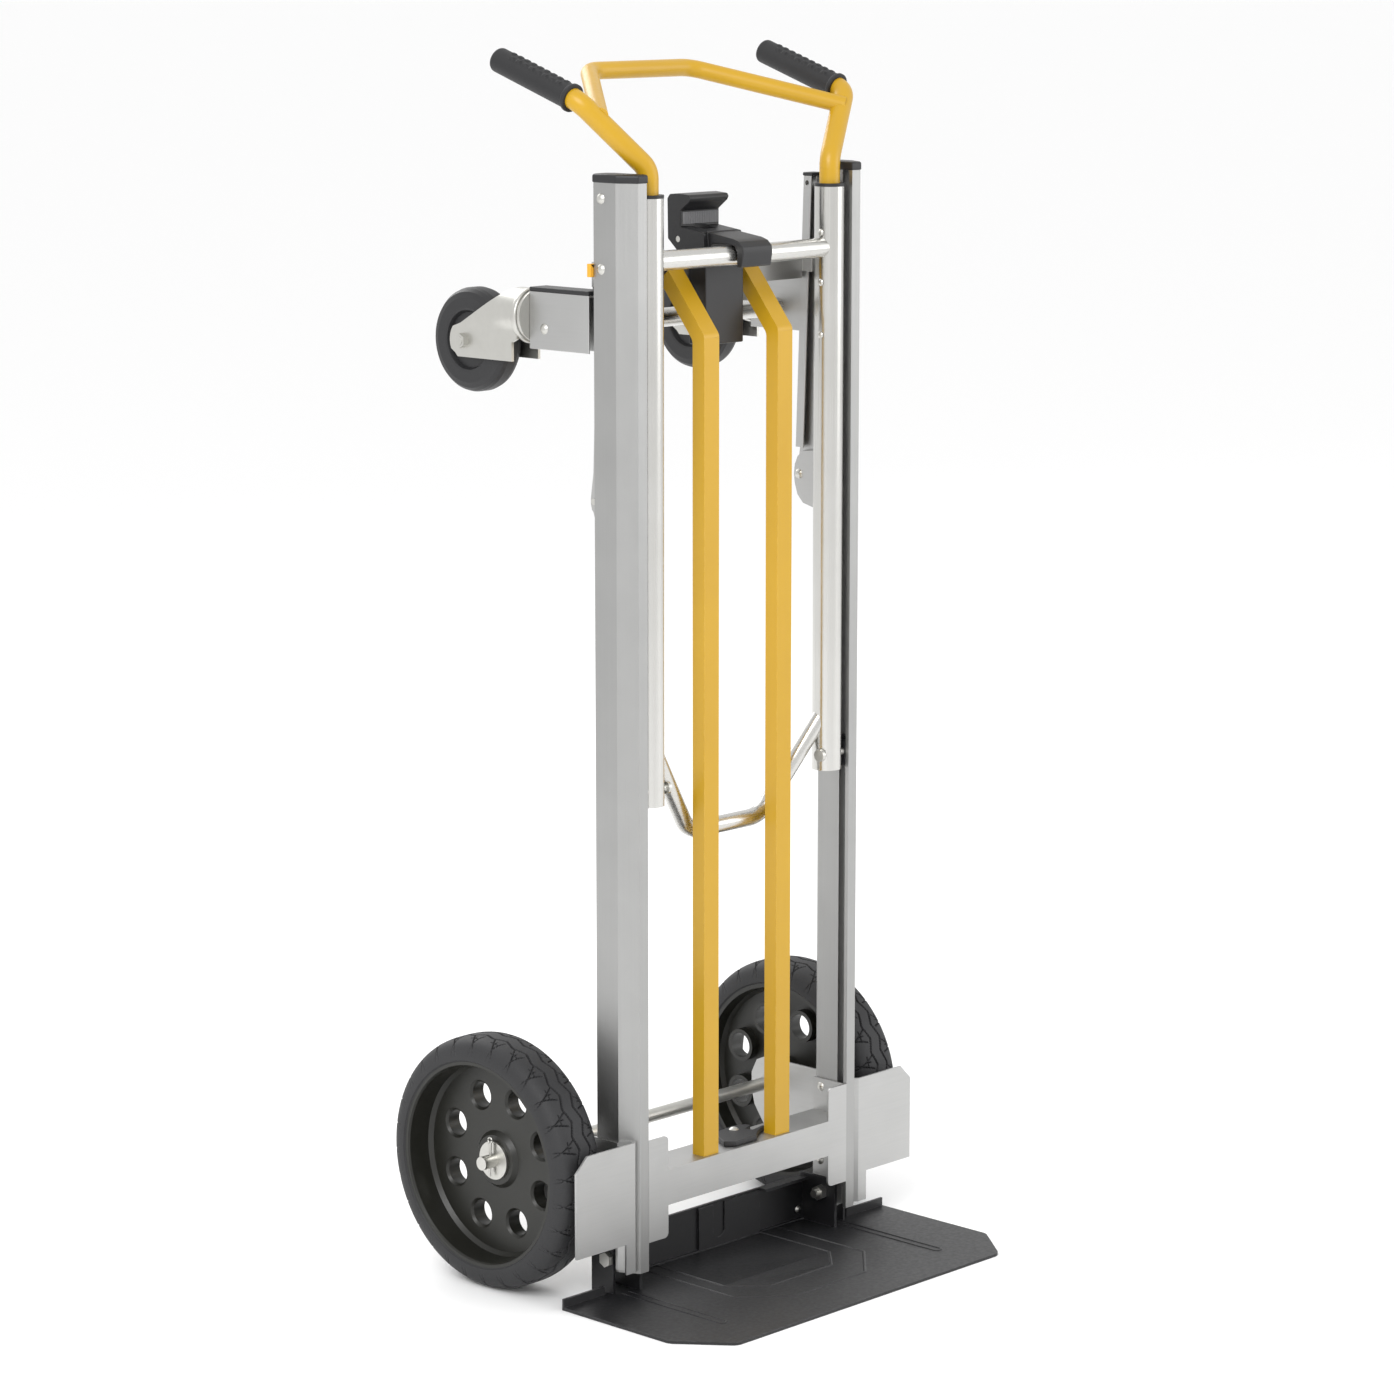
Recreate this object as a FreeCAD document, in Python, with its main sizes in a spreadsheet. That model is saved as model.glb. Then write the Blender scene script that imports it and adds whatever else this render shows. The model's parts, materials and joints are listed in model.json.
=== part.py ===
import FreeCAD, Part
import math
import os
import Sketcher

# Convertible hand truck: two slotted aluminium rails on a steel toe plate, with a sliding,
# folding handle at the front and a pair of swivel casters on a folding frame at the back.
# Millimetres. +X is the user's right seen from the load side, +Y points to the back
# (towards the wheels), +Z is up. The origin is on the ground under the middle of the toe plate.

VECTOR = FreeCAD.Vector
DOC = FreeCAD.newDocument("hand_truck")
SHEET = DOC.addObject("Spreadsheet::Sheet", "dims")
SIDES = {"left": -1, "right": 1}
NODES = {}

# %% driving dimensions: alias, value in mm, meaning
DIMENSIONS = [
    ("rail_inner", 139.0, "inner face of a rail from the middle plane"),
    ("rail_outer", 160.5, "outer face of a rail"),
    ("rail_front", -25.7, "front face of the rails"),
    ("rail_back", 20.9, "back face of the rails"),
    ("rail_bottom", 24.5, "lower end of the rails"),
    ("rail_top", 1044.7, "upper end of the rails"),
    ("rail_wall", 2.5, "wall of the rail extrusion"),
    ("slot_middle", -17.5, "middle of the slot in the rail, front to back"),
    ("slot_opening", 8.0, "opening of the slot"),
    ("slot_cavity", 11.4, "inside of the slot"),
    ("slot_floor", 148.5, "floor of the slot from the middle plane"),
    ("plate_gauge", 2.0, "sheet thickness of the aluminium pressings"),
    ("axle_height", 121.5, "wheel axle above the ground"),
    ("axle_back", 107.8, "wheel axle behind the origin"),
    ("axle_radius", 6.5, "radius of the wheel axle"),
    ("axle_half", 229.0, "half length of the wheel axle"),
    ("wheel_radius", 121.5, "outer radius of a tyre"),
    ("wheel_middle", 209.0, "middle plane of a wheel"),
    ("tyre_half", 27.5, "half width of a tyre"),
    ("rim_radius", 99.0, "radius on which the tyre sits"),
    ("web_outer", 206.7, "outer face of the wheel web"),
    ("hub_inner", 172.0, "inner end of the wheel boss"),
    ("hub_outer", 211.0, "outer end of the wheel boss"),
    ("window_circle", 63.0, "radius on which the wheel windows lie"),
    ("window_radius", 12.5, "radius of a wheel window"),
    ("guard_outer", 234.6, "outer edge of a wheel guard"),
    ("guard_top", 153.6, "upper edge of a wheel guard"),
    ("guard_low", 57.1, "lower edge of a wheel guard"),
    ("web_low", 83.6, "lower edge of the lower crossbar"),
    ("web_high", 118.75, "upper face of the lower crossbar"),
    ("tab_inner", 112.6, "inner edge of an end tab of the lower crossbar"),
    ("tab_low", 52.2, "lower edge of an end tab"),
    ("tab_high", 151.6, "upper edge of an end tab"),
    ("leg_depth", 42.2, "front to back depth of the lower crossbar's ends"),
    ("slat_middle", 50.0, "middle of a slat"),
    ("slat_width", 20.0, "width of a slat"),
    ("slat_depth", 15.0, "depth of a slat"),
    ("slat_front", -22.0, "front face of a slat"),
    ("slat_bend", 899.0, "height at which a slat bends back"),
    ("toe_half", 224.8, "half width of the toe plate"),
    ("toe_front", -183.85, "front edge of the toe plate"),
    ("toe_gauge", 3.0, "thickness of the toe plate"),
    ("toe_wall", 48.0, "height of the toe plate's back wall"),
    ("tube_middle", 122.8, "middle of a handle tube"),
    ("tube_line", -11.4, "handle tube axis, front to back"),
    ("tube_radius", 14.3, "outer radius of a handle tube"),
    ("tube_bore", 12.7, "inner radius of a handle tube"),
    ("tube_bottom", 468.5, "lower end of a handle tube"),
    ("tube_top", 1030.0, "upper end of a handle tube"),
    ("pivot_height", 484.0, "handle pivot bolt above the ground"),
    ("bolt_radius", 3.5, "radius of a handle pivot bolt"),
    ("running_gap", 0.05, "radial clearance of a running fit"),
    ("bar_radius", 9.3, "radius of the handle crossbar"),
    ("bar_height", 972.5, "height of the handle crossbar"),
    ("ubar_radius", 8.2, "radius of the U-shaped bar"),
    ("leg_radius", 9.75, "radius of the bent handle legs"),
    ("loop_radius", 8.25, "radius of the handle loop"),
    ("grip_radius", 11.8, "radius of a grip"),
    ("post_half", 25.7, "half width of the latch post"),
    ("latch_pin_back", 45.0, "latch hinge pin behind the origin"),
    ("latch_pin_height", 985.0, "latch hinge pin above the ground"),
    ("latch_pin_radius", 3.0, "radius of the latch hinge pin"),
    ("frame_pivot_back", 39.5, "caster frame pivot behind the origin"),
    ("frame_pivot_height", 750.0, "caster frame pivot above the ground"),
    ("frame_pivot_radius", 3.0, "radius of the caster frame pivot pins"),
    ("strut_inner", 134.0, "inner face of a caster frame leg"),
    ("strut_side", 140.4, "face of a leg's side that carries the pivot"),
    ("strut_outer", 148.4, "outer face of a caster frame leg"),
    ("strut_front", 21.3, "front face of a caster frame leg"),
    ("strut_gauge", 1.6, "wall of a caster frame leg"),
    ("strut_top", 1037.5, "upper end of a caster frame leg"),
    ("bracket_inner", 138.4, "inner face of a caster bracket"),
    ("bracket_outer", 160.6, "outer face of a caster bracket"),
    ("bracket_low", 888.5, "lower edge of a caster bracket"),
    ("bracket_high", 941.5, "upper face of a caster bracket"),
    ("bracket_back", 105.2, "back face of a caster bracket"),
    ("tie_radius", 9.0, "radius of the caster frame's cross tube"),
    ("swivel_middle", 149.5, "caster swivel axis from the middle plane"),
    ("swivel_height", 918.0, "caster swivel axis above the ground"),
    ("caster_back", 186.0, "caster wheel axle behind the origin"),
    ("caster_height", 891.0, "caster wheel axle above the ground"),
    ("caster_radius", 49.0, "radius of a caster wheel"),
    ("caster_half", 14.0, "half width of a caster wheel"),
]


class Size:
    """A length that knows its value in mm and the spreadsheet formula that gives it."""

    def __init__(self, value, formula):
        self.value = value
        self.formula = formula

    def join(self, other, sign, value):
        return Size(value, f"({self.formula} {sign} {formula_of(other)})")

    def __add__(self, other):
        return self.join(other, "+", self.value + value_of(other))

    def __sub__(self, other):
        return self.join(other, "-", self.value - value_of(other))

    def __mul__(self, other):
        return self.join(other, "*", self.value * value_of(other))

    __radd__ = __add__
    __rmul__ = __mul__

    def __rsub__(self, other):
        return self * -1 + other

    def __neg__(self):
        return self * -1


def value_of(size):
    return size.value if isinstance(size, Size) else size


def formula_of(size):
    return size.formula if isinstance(size, Size) else repr(float(size))


def fill_sheet():
    """Write the driving dimensions to the spreadsheet and return them by name."""
    sizes = {}
    for row, (alias, value, meaning) in enumerate(DIMENSIONS, start=1):
        SHEET.set(f"A{row}", meaning)
        SHEET.set(f"B{row}", str(value))
        SHEET.setAlias(f"B{row}", alias)
        sizes[alias] = Size(value, f"dims.{alias}")
    DOC.recompute()
    return sizes


D = fill_sheet()


def mm(alias):
    """The plain value of a driving dimension."""
    return D[alias].value


# %% helpers that make bound objects
def bind(obj, path, size):
    """Bind a property, or a part of its placement, to the spreadsheet."""
    if isinstance(size, Size):
        obj.setExpression(path, size.formula)


def put(obj, x, y, z, rotation=None):
    """Place an object at a bound point."""
    spot = VECTOR(value_of(x), value_of(y), value_of(z))
    obj.Placement = FreeCAD.Placement(spot, rotation or FreeCAD.Rotation())
    for letter, size in zip("xyz", (x, y, z)):
        bind(obj, f"Placement.Base.{letter}", size)
    return obj


def sized(kind, label, **sizes):
    obj = DOC.addObject(kind, label)
    for name, size in sizes.items():
        setattr(obj, name, value_of(size))
        bind(obj, name, size)
    return obj


def box(label, x, y, z):
    """A box between pairs of low and high limits."""
    edges = [high - low for low, high in (x, y, z)]
    obj = sized("Part::Box", label, Length=edges[0], Width=edges[1], Height=edges[2])
    return put(obj, x[0], y[0], z[0])


AXIS_TURNS = {
    "x": FreeCAD.Rotation(VECTOR(0, 1, 0), 90),
    "y": FreeCAD.Rotation(VECTOR(1, 0, 0), -90),
    "z": FreeCAD.Rotation(),
}


def rod(label, axis, radius, start, length):
    """A cylinder from a start point along +X, +Y or +Z."""
    obj = sized("Part::Cylinder", label, Radius=radius, Height=length)
    return put(obj, *start, AXIS_TURNS[axis])


def hexagon(label, axis, radius, start, length):
    obj = sized("Part::Prism", label, Circumradius=radius, Height=length)
    obj.Polygon = 6
    return put(obj, *start, AXIS_TURNS[axis])


def cone(label, axis, radii, start, length):
    obj = sized("Part::Cone", label, Radius1=radii[0], Radius2=radii[1], Height=length)
    return put(obj, *start, AXIS_TURNS[axis])


def fuse(label, *shapes):
    obj = DOC.addObject("Part::MultiFuse", label)
    obj.Shapes = list(shapes)
    return obj


def cut(label, base, *tools):
    obj = DOC.addObject("Part::Cut", label)
    obj.Base = base
    obj.Tool = tools[0] if len(tools) == 1 else fuse(label + "_tools", *tools)
    return obj


def group(label, *shapes):
    """Several separate solids in one node."""
    obj = DOC.addObject("Part::Compound", label)
    obj.Links = list(shapes)
    return obj


def mirrored(label, source):
    """The left-hand twin of a right-hand piece."""
    obj = DOC.addObject("Part::Mirroring", label)
    obj.Source = source
    obj.Normal = VECTOR(1, 0, 0)
    return obj


def node(name, obj):
    """Record a finished piece under the name that its file gets."""
    obj.Label = name
    NODES[name] = obj
    return obj


def pair(name, make):
    """Make a right-hand piece and mirror it to the left."""
    right = node(name + "_right", make(name + "_right_piece"))
    node(name + "_left", mirrored(name + "_left_piece", right))


PLANES = {"xy": "XY_Plane", "xz": "XZ_Plane", "yz": "YZ_Plane"}


def outline(body, label, plane, offset, loops):
    """A sketch of closed polygons whose corners are all bound to the spreadsheet."""
    sketch = body.newObject("Sketcher::SketchObject", label)
    role = PLANES[plane]
    origin_plane = [item for item in body.Origin.OriginFeatures if item.Role == role][0]
    sketch.AttachmentSupport = [(origin_plane, "")]
    sketch.MapMode = "FlatFace"
    sketch.AttachmentOffset = FreeCAD.Placement(
        VECTOR(0, 0, value_of(offset)), FreeCAD.Rotation()
    )
    bind(sketch, "AttachmentOffset.Base.z", offset)
    for loop in loops:
        first = sketch.GeometryCount
        points = [VECTOR(value_of(a), value_of(b), 0) for a, b in loop]
        for index, point in enumerate(points):
            ahead = points[(index + 1) % len(points)]
            sketch.addGeometry(Part.LineSegment(point, ahead))
        for index in range(len(points)):
            ahead = first + (index + 1) % len(points)
            sketch.addConstraint(
                Sketcher.Constraint("Coincident", first + index, 2, ahead, 1)
            )
        for index, corner in enumerate(loop):
            pin_corner(sketch, first + index, corner)
    return sketch


def pin_corner(sketch, line, corner):
    """Fix a line's start to the sketch origin by two bound distances."""
    for kind, on_axis, size in (
        ("DistanceX", -2, corner[0]),
        ("DistanceY", -1, corner[1]),
    ):
        if abs(value_of(size)) < 1e-9:
            sketch.addConstraint(Sketcher.Constraint("PointOnObject", line, 1, on_axis))
            continue
        rule = Sketcher.Constraint(kind, -1, 1, line, 1, value_of(size))
        number = sketch.addConstraint(rule)
        bind(sketch, f"Constraints[{number}]", size)


def slab(label, plane, loops, low, high):
    """A body padded from polygons, between two limits along the plane's normal axis."""
    body = DOC.addObject("PartDesign::Body", label)
    offset = -high if plane == "xz" else low
    sketch = outline(body, label + "_outline", plane, offset, loops)
    pad = body.newObject("PartDesign::Pad", label + "_pad")
    pad.Profile = sketch
    pad.Length = value_of(high - low)
    bind(pad, "Length", high - low)
    DOC.recompute()
    return body


def turned(label, axis, centre, profile):
    """A body revolved about an axis from (along the axis, radius) points."""
    body = DOC.addObject("PartDesign::Body", label)
    sketch = outline(body, label + "_profile", "xz", 0, [profile])
    turn = body.newObject("PartDesign::Revolution", label + "_turn")
    turn.Profile = sketch
    turn.ReferenceAxis = (sketch, ["H_Axis"])
    turn.Angle = 360
    swing = {"x": FreeCAD.Rotation(), "y": FreeCAD.Rotation(VECTOR(0, 0, 1), 90)}
    return put(body, *centre, swing[axis])


def rounded(body, radius, along, spots, reach=1.5):
    """Fillet the straight edges that run along an axis through the given spots."""
    DOC.recompute()
    base = body.Tip
    wanted = []
    for number, edge in enumerate(base.Shape.Edges, start=1):
        ends = [vertex.Point for vertex in edge.Vertexes]
        if len(ends) < 2 or (ends[1] - ends[0]).cross(along).Length > 1e-3:
            continue
        for spot in spots:
            gap = (ends[0] - spot) - along * (ends[0] - spot).dot(along)
            if gap.Length < reach:
                wanted.append(f"Edge{number}")
                break
    fillet = body.newObject("PartDesign::Fillet", body.Name + "_round")
    fillet.Base = (base, wanted)
    fillet.Radius = radius
    DOC.recompute()
    return body


def bent_line(points, bend):
    """Straight runs joined by tangent arcs of the given bend radius."""
    edges = []
    here = points[0]
    for before, corner, after in zip(points, points[1:], points[2:]):
        inward = (before - corner).normalize()
        outward = (after - corner).normalize()
        half_turn = inward.getAngle(outward) / 2
        reach = bend / math.tan(half_turn)
        start = corner + inward * reach
        stop = corner + outward * reach
        middle_way = (inward + outward).normalize()
        peak = corner + middle_way * (bend / math.sin(half_turn) - bend)
        edges.append(Part.LineSegment(here, start).toShape())
        edges.append(Part.Arc(start, peak, stop).toShape())
        here = stop
    edges.append(Part.LineSegment(here, points[-1]).toShape())
    return Part.Wire(edges)


def swept(label, path, radius):
    """A round bar swept along a wire, with its radius bound to the sheet."""
    spine = DOC.addObject("Part::Feature", label + "_line")
    spine.Shape = path
    circle = sized("Part::Circle", label + "_section", Radius=radius)
    first = path.OrderedEdges[0]
    along = first.tangentAt(first.FirstParameter)
    facing = FreeCAD.Rotation(VECTOR(0, 0, 1), along)
    circle.Placement = FreeCAD.Placement(path.OrderedVertexes[0].Point, facing)
    sweep = DOC.addObject("Part::Sweep", label)
    sweep.Sections = [circle]
    sweep.Spine = (spine, [])
    sweep.Solid = True
    sweep.Frenet = False
    return sweep


def dome(label, axis, direction, spot, head_radius, shank_radius, grip):
    """A domed rivet: a flattened head on the surface and a shank into it."""
    radius = head_radius * 1.25
    sunk = math.sqrt(radius**2 - head_radius**2)
    unit = {"x": VECTOR(1, 0, 0), "y": VECTOR(0, 1, 0), "z": VECTOR(0, 0, 1)}[axis]
    outward = unit * direction
    middle = spot - outward * sunk
    ball = sized("Part::Sphere", label + "_ball", Radius=radius)
    ball.Placement = FreeCAD.Placement(middle, FreeCAD.Rotation())
    low = spot if direction > 0 else spot + outward * radius
    keep = rod(label + "_keep", axis, radius, low, radius)
    cap = DOC.addObject("Part::Common", label + "_cap")
    cap.Base = ball
    cap.Tool = keep
    foot = spot - outward * grip if direction > 0 else spot
    shank = rod(label + "_shank", axis, shank_radius, foot, grip)
    return fuse(label, cap, shank)


# %% rails, their caps and the rivets through them
def rail_profile(x):
    """Outline of a rail and of its closed chamber; x takes a distance from the middle."""
    lip = D["rail_wall"]
    front = D["rail_front"]
    slot_front = D["slot_middle"] - D["slot_opening"] * 0.5
    slot_back = D["slot_middle"] + D["slot_opening"] * 0.5
    cavity_front = D["slot_middle"] - D["slot_cavity"] * 0.5
    cavity_back = D["slot_middle"] + D["slot_cavity"] * 0.5
    inner = D["rail_inner"]
    outer = D["rail_outer"]
    skin = [
        (x(inner), D["rail_back"] - 7.3),
        (x(inner + 7), D["rail_back"]),
        (x(outer), D["rail_back"]),
        (x(outer), front + 18.6),
        (x(outer - 10), front),
        (x(inner), front),
        (x(inner), slot_front),
        (x(inner + lip), slot_front),
        (x(inner + lip), cavity_front),
        (x(D["slot_floor"]), cavity_front),
        (x(D["slot_floor"]), cavity_back),
        (x(inner + lip), cavity_back),
        (x(inner + lip), slot_back),
        (x(inner), slot_back),
    ]
    chamber = [
        (x(inner + lip), D["rail_back"] - 8.3),
        (x(inner + 8), D["rail_back"] - lip),
        (x(outer - lip), D["rail_back"] - lip),
        (x(outer - lip), front + 19.2),
        (x(outer - 5), cavity_back + lip),
        (x(inner + lip), cavity_back + lip),
    ]
    return [skin, chamber]


RIVET_SHANK = 2.4
RAIL_RIVETS = (966.5, 1030.2)
RAIL_RIVET_BACK = 11.7
LEG_RIVETS = (68.0, 143.0)
LEG_RIVET_BACK = 6.7
TOE_BOLT_BACK = 4.0
TOE_BOLT_HEIGHT = 36.0
TOE_BOLT_RADIUS = 4.0
PLATE_RIVETS = (732.0, 762.0)
PLATE_RIVET_BACK = 9.5
TIE_RIVET_BACK = 9.5
TIE_RIVET_HEIGHT = 958.0
BUTTON_HEIGHTS = (959.0, 971.0)


def rail(label):
    """The rail, drilled for its rivets and bolt and slotted for the lock button."""
    body = slab(
        label + "_bar", "xy", rail_profile(lambda x: x), D["rail_bottom"], D["rail_top"]
    )
    wall = D["rail_wall"]
    holes = []
    for number, height in enumerate(RAIL_RIVETS):
        spot = (D["rail_outer"] - wall - 1, RAIL_RIVET_BACK, height)
        holes.append(rod(f"{label}_outer_{number}", "x", RIVET_SHANK, spot, wall + 2))
    inner = [(LEG_RIVET_BACK, height) for height in LEG_RIVETS]
    inner += [(PLATE_RIVET_BACK, height) for height in PLATE_RIVETS]
    inner += [(TIE_RIVET_BACK, TIE_RIVET_HEIGHT)]
    for number, (back, height) in enumerate(inner):
        spot = (D["rail_inner"] - 1, back, height)
        holes.append(rod(f"{label}_inner_{number}", "x", RIVET_SHANK, spot, wall + 1))
    spot = (D["rail_inner"] - 1, TOE_BOLT_BACK, TOE_BOLT_HEIGHT)
    across = D["rail_outer"] - D["rail_inner"] + 2
    holes.append(rod(label + "_bolt_hole", "x", TOE_BOLT_RADIUS, spot, across))
    low, high = BUTTON_HEIGHTS
    window = (low + 2.6, high - 2.6)
    back = (D["rail_back"] - 4, D["rail_back"] + 1)
    holes.append(box(label + "_button_slot", (148.0, 157.9), back, window))
    return cut(label, body, *holes)


def rail_cap(label):
    inner = D["rail_inner"] - 1
    outer = D["rail_outer"] + 1
    front = D["rail_front"] - 1
    back = D["rail_back"] + 1
    loop = [
        (inner, back - 7.3),
        (inner + 7, back),
        (outer, back),
        (outer, front + 19),
        (outer - 10.5, front),
        (inner, front),
    ]
    body = slab(label, "xy", [loop], D["rail_top"], D["rail_top"] + 8)
    base = body.Tip
    top = [
        f"Edge{number}"
        for number, edge in enumerate(base.Shape.Edges, start=1)
        if min(vertex.Z for vertex in edge.Vertexes) > mm("rail_top") + 7.9
    ]
    chamfer = body.newObject("PartDesign::Chamfer", label + "_edge")
    chamfer.Base = (base, top)
    chamfer.Size = 1.6
    return body


pair("rail", rail)
pair("rail_cap", rail_cap)

RIVETS = []
for side, sign in SIDES.items():
    for number, height in enumerate(RAIL_RIVETS):
        spot = VECTOR(sign * mm("rail_outer"), RAIL_RIVET_BACK, height)
        label = f"rail_rivet_{side}_{number}"
        RIVETS.append(dome(label, "x", sign, spot, 5, RIVET_SHANK, mm("rail_wall")))
    inner_face = mm("rail_inner") - mm("plate_gauge") - 0.1
    inner_grip = mm("plate_gauge") + 0.1 + mm("rail_wall")
    spots = [(LEG_RIVET_BACK, height) for height in LEG_RIVETS]
    spots += [(PLATE_RIVET_BACK, height) for height in PLATE_RIVETS]
    spots += [(TIE_RIVET_BACK, TIE_RIVET_HEIGHT)]
    for number, (back, height) in enumerate(spots):
        spot = VECTOR(sign * inner_face, back, height)
        label = f"plate_rivet_{side}_{number}"
        RIVETS.append(dome(label, "x", -sign, spot, 4.5, RIVET_SHANK, inner_grip))


# %% wheel brackets: guard in front of the wheel and ear that carries the axle
def wheel_bracket(label):
    gauge = 2.2
    inner = D["rail_outer"] + 0.1
    front = D["rail_front"]
    bend = front + 18.6
    fold = [
        (inner, 124.0),
        (inner, bend),
        (inner - 8.1, front + 3.5),
        (inner - 3.4, front),
        (D["guard_outer"], front),
        (D["guard_outer"], front + gauge),
        (inner - 1.6, front + gauge),
        (inner - 5.2, front + 5),
        (inner + gauge, bend - 0.6),
        (inner + gauge, 124.0),
    ]
    folded = slab(label + "_sheet", "xy", [fold], D["rail_bottom"] + 3, D["guard_top"])
    far = D["guard_outer"] + 1
    front_side = (front - 1, front + 6)
    tools = [
        box(
            label + "_notch",
            (inner + 8.5, far),
            front_side,
            (D["rail_bottom"], D["guard_low"]),
        ),
        slab(
            label + "_corner",
            "xz",
            [[
                (D["guard_outer"] - 14.6, D["guard_top"] + 1),
                (D["guard_outer"] - 14.6, D["guard_top"]),
                (D["guard_outer"], D["guard_top"] - 14.1),
                (far, D["guard_top"] - 14.1),
                (far, D["guard_top"] + 1),
            ]],
            front - 1,
            front + 6,
        ),
    ]
    ear = [
        (bend + 2, D["rail_bottom"] + 1),
        (bend + 2, D["guard_low"]),
        (60.0, 62.0),
        (88.0, 70.0),
        (106.0, 82.0),
        (118.0, 99.0),
        (122.0, 114.0),
        (122.0, 132.0),
        (115.0, 146.0),
        (104.0, 151.0),
        (bend - 2, 151.0),
        (bend - 2, D["guard_top"] + 2),
        (130.0, D["guard_top"] + 2),
        (130.0, D["rail_bottom"] + 1),
    ]
    tools.append(slab(label + "_trim", "yz", [ear], inner - 1, inner + gauge + 1))
    spot = (inner - 1, D["axle_back"], D["axle_height"])
    tools.append(rod(label + "_axle_hole", "x", D["axle_radius"], spot, gauge + 2))
    return cut(label, folded, *tools)


pair("wheel_bracket", wheel_bracket)


# %% lower crossbar, slats and the bar that holds their upper ends
def lower_crossbar():
    gauge = D["plate_gauge"]
    front = D["rail_front"] - 0.1
    reach = D["rail_inner"] - 0.1
    back = front + D["leg_depth"]
    web = box(
        "crossbar_web",
        (-reach, reach),
        (front, front + gauge),
        (D["web_low"], D["web_high"]),
    )
    shelf = box(
        "crossbar_shelf",
        (-reach, reach),
        (front, back),
        (D["web_high"] - gauge, D["web_high"]),
    )
    parts = [web, shelf]
    for side, sign in SIDES.items():
        tab = (D["tab_inner"], reach) if sign > 0 else (-reach, -D["tab_inner"])
        leg = (reach - gauge, reach) if sign > 0 else (-reach, gauge - reach)
        tall = (D["tab_low"], D["tab_high"])
        parts.append(box(f"crossbar_tab_{side}", tab, (front, front + gauge), tall))
        parts.append(box(f"crossbar_leg_{side}", leg, (front, back), tall))
    holes = []
    for number, height in enumerate(LEG_RIVETS):
        spot = (-D["rail_inner"], LEG_RIVET_BACK, height)
        span = D["rail_inner"] * 2
        holes.append(rod(f"crossbar_hole_{number}", "x", RIVET_SHANK, spot, span))
    catch_spot = (CATCH_PIVOT[0], CATCH_PIVOT[1], D["web_high"] - gauge - 1)
    holes.append(rod("crossbar_catch_hole", "z", CATCH_PIN, catch_spot, gauge + 2))
    pressing = cut("crossbar_pressing", fuse("crossbar_sheet", *parts), *holes)
    DOC.recompute()
    corners = []
    for number, edge in enumerate(pressing.Shape.Edges, start=1):
        ends = [vertex.Point for vertex in edge.Vertexes]
        if len(ends) < 2 or abs(abs(ends[0].y - ends[1].y) - mm("plate_gauge")) > 0.01:
            continue
        at_tab = abs(abs(ends[0].x) - mm("tab_inner")) < 0.1
        if at_tab and min(abs(ends[0].z - mm(z)) for z in ("tab_low", "tab_high")) < 0.1:
            corners.append((number, 5.0, 5.0))
    smooth = DOC.addObject("Part::Fillet", "crossbar_rounding")
    smooth.Base = pressing
    smooth.Edges = corners
    return smooth


CATCH_PIVOT = (15.1, 9.6)
CATCH_PIN = 2.5
node("lower_crossbar", lower_crossbar())


SLAT_LEAN = math.radians(38.9)
SLAT_RUN = 71.0


def slat(label):
    """A square tube that rises straight and then leans back to the upper bar."""

    def side_view(inset, overlap):
        front = D["slat_front"] + inset
        back = D["slat_front"] + D["slat_depth"] - inset
        middle = D["slat_front"] + D["slat_depth"] * 0.5
        half = mm("slat_depth") / 2 - inset
        miter = half * math.tan(SLAT_LEAN / 2)
        run = SLAT_RUN + overlap
        tip = (math.sin(SLAT_LEAN) * run, math.cos(SLAT_LEAN) * run)
        across = (math.cos(SLAT_LEAN) * half, math.sin(SLAT_LEAN) * half)
        return [
            (front, D["web_high"] - overlap),
            (back, D["web_high"] - overlap),
            (back, D["slat_bend"] - miter),
            (middle + tip[0] + across[0], D["slat_bend"] + tip[1] - across[1]),
            (middle + tip[0] - across[0], D["slat_bend"] + tip[1] + across[1]),
            (front, D["slat_bend"] + miter),
        ]

    near = D["slat_middle"] - D["slat_width"] * 0.5
    far = D["slat_middle"] + D["slat_width"] * 0.5
    outside = slab(label + "_tube", "yz", [side_view(0, 0)], near, far)
    bends = [VECTOR(0, mm("slat_front") + 0, mm("slat_bend") + 2.6)]
    bends.append(VECTOR(0, mm("slat_front") + mm("slat_depth"), mm("slat_bend") - 2.6))
    rounded(outside, 9, VECTOR(1, 0, 0), bends, reach=3)
    inside = slab(label + "_hollow", "yz", [side_view(1.6, 2)], near + 1.6, far - 1.6)
    flat = box(
        label + "_end",
        (near - 1, far + 1),
        (TOP_BAR[0], TOP_BAR[0] + 30),
        (D["slat_bend"], D["slat_bend"] + 90),
    )
    return cut(label, outside, inside, flat)


TOP_BAR = (31.0, 51.0)
TOP_BAR_HEIGHT = (940.0, 965.0)
pair("slat", slat)


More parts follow.
